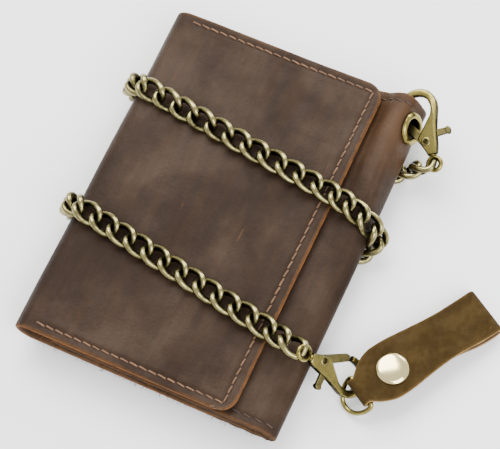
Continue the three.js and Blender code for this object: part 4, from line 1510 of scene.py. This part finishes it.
# ---------------------------------------------------------------- belt strap
@dataclass
class BeltStrap:
    """The folded belt strap on its D-ring, closed by a snap."""

    leather: float = 1.3
    fold_x: float = 43.6
    fold_r: float = 2.45
    snap_x: float = 11.0
    ring_width: float = 10.8
    ring_depth: float = 7.8
    ring_wire: float = 0.74
    ring_tilt: float = math.radians(41)
    neck_half: float = 4.3
    full_half: float = 8.7
    shoulder_x: float = 9.5
    tuck: float = 0.9

    BAR = (103, 24.45, 6.4)
    ALONG = (0.514, 0.857, -0.083)
    ACROSS = (-0.857, 0.514, 0)

    def __post_init__(self) -> None:
        self.place = Place.at(self.BAR, self.ALONG, self.ACROSS)

    def half_width(self, x: float) -> float:
        """Half the strap's width at a distance from the D-ring's bar."""
        if x <= 0:
            return self.neck_half
        if x < self.shoulder_x:
            return self.neck_half + 4.4 * math.sin(x / self.shoulder_x * math.pi / 2) ** 0.85
        waist = 0.35 * math.sin(min(max((x - 14) / 24, 0), 1) * math.pi)
        taper = 1.35 * smoothstep(x, self.shoulder_x, 34)
        return self.full_half - taper - waist + 0.1 * smoothstep(x, 36, 46)

    def bow(self, x: float) -> float:
        """How far the top leg bows up from flat."""
        return 0.75 * math.sin(min(max((x - 15) / (self.fold_x - 15), 0), 1) * math.pi) ** 2

    def skew(self, x: float) -> float:
        """How far the strap's middle wanders sideways."""
        return 0.45 * math.sin(x / self.fold_x * math.pi * 1.6)

    def across(self, x: float, z: float, half: float, crown: float = 0.0) -> list[tuple]:
        """A row of (x, y, z) points across the strap."""
        shares = spread([-1, -0.86, 0.86, 1], [0.045, 0.12, 0.045])
        return [(x, s * half + self.skew(max(x, 0)), z + crown * (1 - s * s)) for s in shares]

    def top_leg(self) -> None:
        """The top leg, its neck round the bar and the tab inside, as one strip."""
        rows = []
        for x in spread([2.4, 16, self.fold_x], [0.55, 0.9])[::-1]:
            dimple = 0.30 * math.exp(-(max(abs(x - self.snap_x) - 4.2, 0) / 1.1) ** 2)
            rise = self.fold_r + self.bow(x) - 0.25 * (1 - smoothstep(x, 2.4, 6.5)) - 0.4 * dimple
            rows.append(self.across(x, rise, self.half_width(x), 0.12))
        for a in np.linspace(0.12, math.pi, 12):
            rows.append(self.across(-2.15 * math.sin(a), 2.15 * math.cos(a), 4.25))
        rows += [self.across(x, z, half) for x, z, half in (
            (1.2, -2.15, 4.2), (2.2, -1.95, 4.2), (3.2, -1.2, 4.4), (4.2, -0.85, 4.9),
            (6.0, -0.75, 5.6), (7.8, -0.75, 6.0))]
        grain = np.array(rows)
        shell = leather_sheet(grain, 1.2, Rims(first_row=False)).placed(self.place)
        piece("strap_top_leg", shell, [STRAP, FLESH, STRAP_EDGE], Slot.STRAP,
              ["belt_strap_upper_leg", "belt_strap_neck", "belt_strap_tab"], "belt_strap")

    def far_fold(self) -> None:
        """The bend at the far end."""
        rows = []
        for a in np.linspace(0, math.pi, 15):
            x = self.fold_x + self.fold_r * 1.08 * math.sin(a)
            rows.append(self.across(x, self.fold_r * math.cos(a), self.half_width(x),
                                    0.12 * math.cos(a)))
        sheet = leather_sheet(np.array(rows)[:, ::-1], 1.2, Rims(first_row=False, last_row=False))
        made = piece("strap_far_fold", sheet.placed(self.place), [STRAP, FLESH, STRAP_EDGE],
                     Slot.STRAP, ["belt_strap_fold"])
        ends = self.place.to_wallet(np.array([[self.fold_x, 0, 1.2], [self.fold_x, 0, -1.2]]))
        start, end = to_row(ends)
        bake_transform(made)

    def free_leg(self) -> None:
        """The lower leg, which comes free when the snap is pulled open."""
        rows = []
        for x in spread([3.4, 12, self.fold_x], [0.6, 1.4]):
            tucked = 1 - smoothstep(x, 24, 42)
            half = (self.half_width(x) - 0.5 * tucked) * (0.52 + 0.48 * smoothstep(x, 3.4, 9.5))
            row = self.across(x, -self.fold_r - 0.04 * math.sin(x / 7.0), half)
            rows.append([(px, py + self.tuck * tucked, pz) for px, py, pz in row])
        shell = leather_sheet(np.array(rows), self.leather, Rims(last_row=False)).placed(self.place)
        piece("strap_free_leg", shell, [STRAP, FLESH, STRAP_EDGE], Slot.STRAP,
              ["belt_strap_lower_leg"], "belt_strap_free_leg")

    def snap(self) -> None:
        """The domed cap of the snap, and the hidden snap parts in the CAD's own shape."""
        place = self.place.turned((self.snap_x, 0, self.fold_r), (1, 0, 0), (0, 1, 0))
        dome = [(0, 0.05), (4.5, 0.05), (4.86, 0.16), (4.95, 0.40), (4.72, 0.66)]
        dome += [(4.5 * math.cos(t), 0.72 + 0.62 * math.sin(t))
                 for t in np.linspace(0.06, math.pi / 2, 14)]
        dome[-1] = (0, dome[-1][1])
        # Painted shadow: the low values darken the cap's rim into a dark ring; the dome stays at
        # full brightness.
        rub = [0.3, 0.2, 0.15, 0.55, 0.9] + [1.0] * 14
        piece("snap_cap_dome", lathe(dome, 72, rub).placed(place), [CAP_METAL], Slot.CAP,
              ["snap_cap"], "belt_strap")
        for node in ("snap_socket", "snap_stud", "snap_stud_rivet"):
            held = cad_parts[node]
            held.data.materials.clear()
            held.data.materials.append(PLAIN_METAL.material)

    def ring(self) -> None:
        """The bent wire D-ring."""
        across = unit(self.ACROSS)
        down = unit(np.array([-0.514, -0.857, 0.0])) * math.cos(self.ring_tilt)
        down[2] = -math.sin(self.ring_tilt)
        bar = self.place.origin
        line = []
        for k in range(11):
            angle = math.pi * k / 10
            line.append(bar + across * (self.ring_width / 2) * math.cos(angle)
                        + down * (0.9 + (self.ring_depth - 0.9) * math.sin(angle)))
        line += [bar + across * (t * self.ring_width / 2) for t in (-0.84, -0.3, 0.3, 0.84)]
        path = spline(line, 5, closed=True)
        shell = tube(path, self.ring_wire, 12, closed=True)
        # Painted highlight: the wire is brighter on its faces turned up and down.
        out = unit(shell.points - np.repeat(path, 12, axis=0))
        shell.values["rub"] = np.clip(0.5 + 0.45 * np.abs(out[:, 2]), 0, 1)
        piece("d_ring_wire", shell, [CLASP_METAL], Slot.BRASS, ["d_ring"], "d_ring")

    def dress(self) -> None:
        """Builds the D-ring, the strap and its snap."""
        self.ring()
        self.top_leg()
        self.far_fold()
        self.free_leg()
        self.snap()


# ---------------------------------------------------------------- studio
@dataclass
class Studio:
    """A pale tabletop, soft lights and a camera high above the wallet's lower right corner."""

    target: tuple[float, float, float] = (52.34, 56.40, 15.3)
    azimuth: float = -55.2
    elevation: float = 68.15
    roll: float = -10.6
    distance: float = 580.1
    lens: float = 138.4
    floor_size: float = 4.0
    floor_steps: int = 64
    floor_gap: float = 0.0002

    def camera(self) -> None:
        """Sets the camera from its angles about a point on the wallet."""
        az, el, roll = (math.radians(v) for v in (self.azimuth, self.elevation, self.roll))
        back = np.array([math.cos(el) * math.cos(az), math.cos(el) * math.sin(az), math.sin(el)])
        level = unit(np.cross([0, 0, 1], back))
        up = np.cross(back, level)
        right = level * math.cos(roll) + up * math.sin(roll)
        up = np.cross(back, right)
        data = bpy.data.cameras.new("camera")
        data.lens = self.lens
        data.sensor_width = 36.0
        data.clip_start, data.clip_end = 0.01, 20.0
        camera = bpy.data.objects.new("camera", data)
        bpy.context.scene.collection.objects.link(camera)
        where = to_row(np.array(self.target) + back * self.distance)
        rows = np.column_stack([right, up, back, where]).tolist()
        camera.matrix_world = Matrix([*rows, (0, 0, 0, 1)])
        bpy.context.scene.camera = camera

    def light(self, name: str, where: Sequence[float], size: float, power: float,
              colour: Colour) -> None:
        """Hangs a square softbox that faces the wallet."""
        data = bpy.data.lights.new(name, "AREA")
        data.size, data.energy, data.color = size, power, colour
        lamp = bpy.data.objects.new(name, data)
        bpy.context.scene.collection.objects.link(lamp)
        lamp.location = where
        aim = Vector((0, 0, 0.01)) - Vector(where)
        lamp.rotation_euler = aim.to_track_quat("-Z", "Y").to_euler()

    def world(self) -> None:
        """A dim, even surround."""
        made = bpy.data.worlds.new("surround")
        bpy.context.scene.world = made
        made.use_nodes = True
        shade = made.node_tree.nodes["Background"]
        shade.inputs["Color"].default_value = (1.0, 1.0, 1.0, 1.0)
        shade.inputs["Strength"].default_value = 1.1

    def floor(self) -> None:
        """A round pale tabletop under everything."""
        angles = [2 * math.pi * k / self.floor_steps for k in range(self.floor_steps)]
        ring = [(self.floor_size * math.cos(a), self.floor_size * math.sin(a), 0.0) for a in angles]
        mesh = bpy.data.meshes.new("tabletop")
        mesh.from_pydata(ring, [], [tuple(range(self.floor_steps))])
        mesh.materials.append(StudioFloor("tabletop", (0.97, 0.972, 0.976)).material)
        top = bpy.data.objects.new("tabletop", mesh)
        top.location.z = CAD_BOX[0][2] - self.floor_gap
        bpy.context.scene.collection.objects.link(top)
        top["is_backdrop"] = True

    def dress(self) -> None:
        """Builds the whole studio."""
        self.floor()
        self.world()
        self.light("key_softbox", (-0.45, 0.55, 0.95), 0.9, 26.0, (1.0, 0.99, 0.97))
        self.light("fill_softbox", (0.75, -0.35, 0.85), 0.9, 19.0, (0.97, 0.98, 1.0))
        self.light("rim_strip", (0.15, 0.95, 0.45), 0.35, 5.0, (1.0, 1.0, 1.0))
        self.camera()


def main() -> None:
    logging.basicConfig(level=logging.INFO, format="%(name)s: %(message)s")
    Studio().dress()
    WalletBody().dress()
    Eyelet().dress()
    CurbChain().dress()
    Clasp("a", Clasp.place_a(), "wallet").dress()
    Clasp("b", Clasp.place_b(), "clasp_b_eye").dress()
    BeltStrap().dress()
    plain = lambda box: [[float(v) for v in corner] for corner in box]
    {"cad": plain(CAD_BOX), "visual": plain(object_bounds())}


if __name__ == "__main__":
    main()
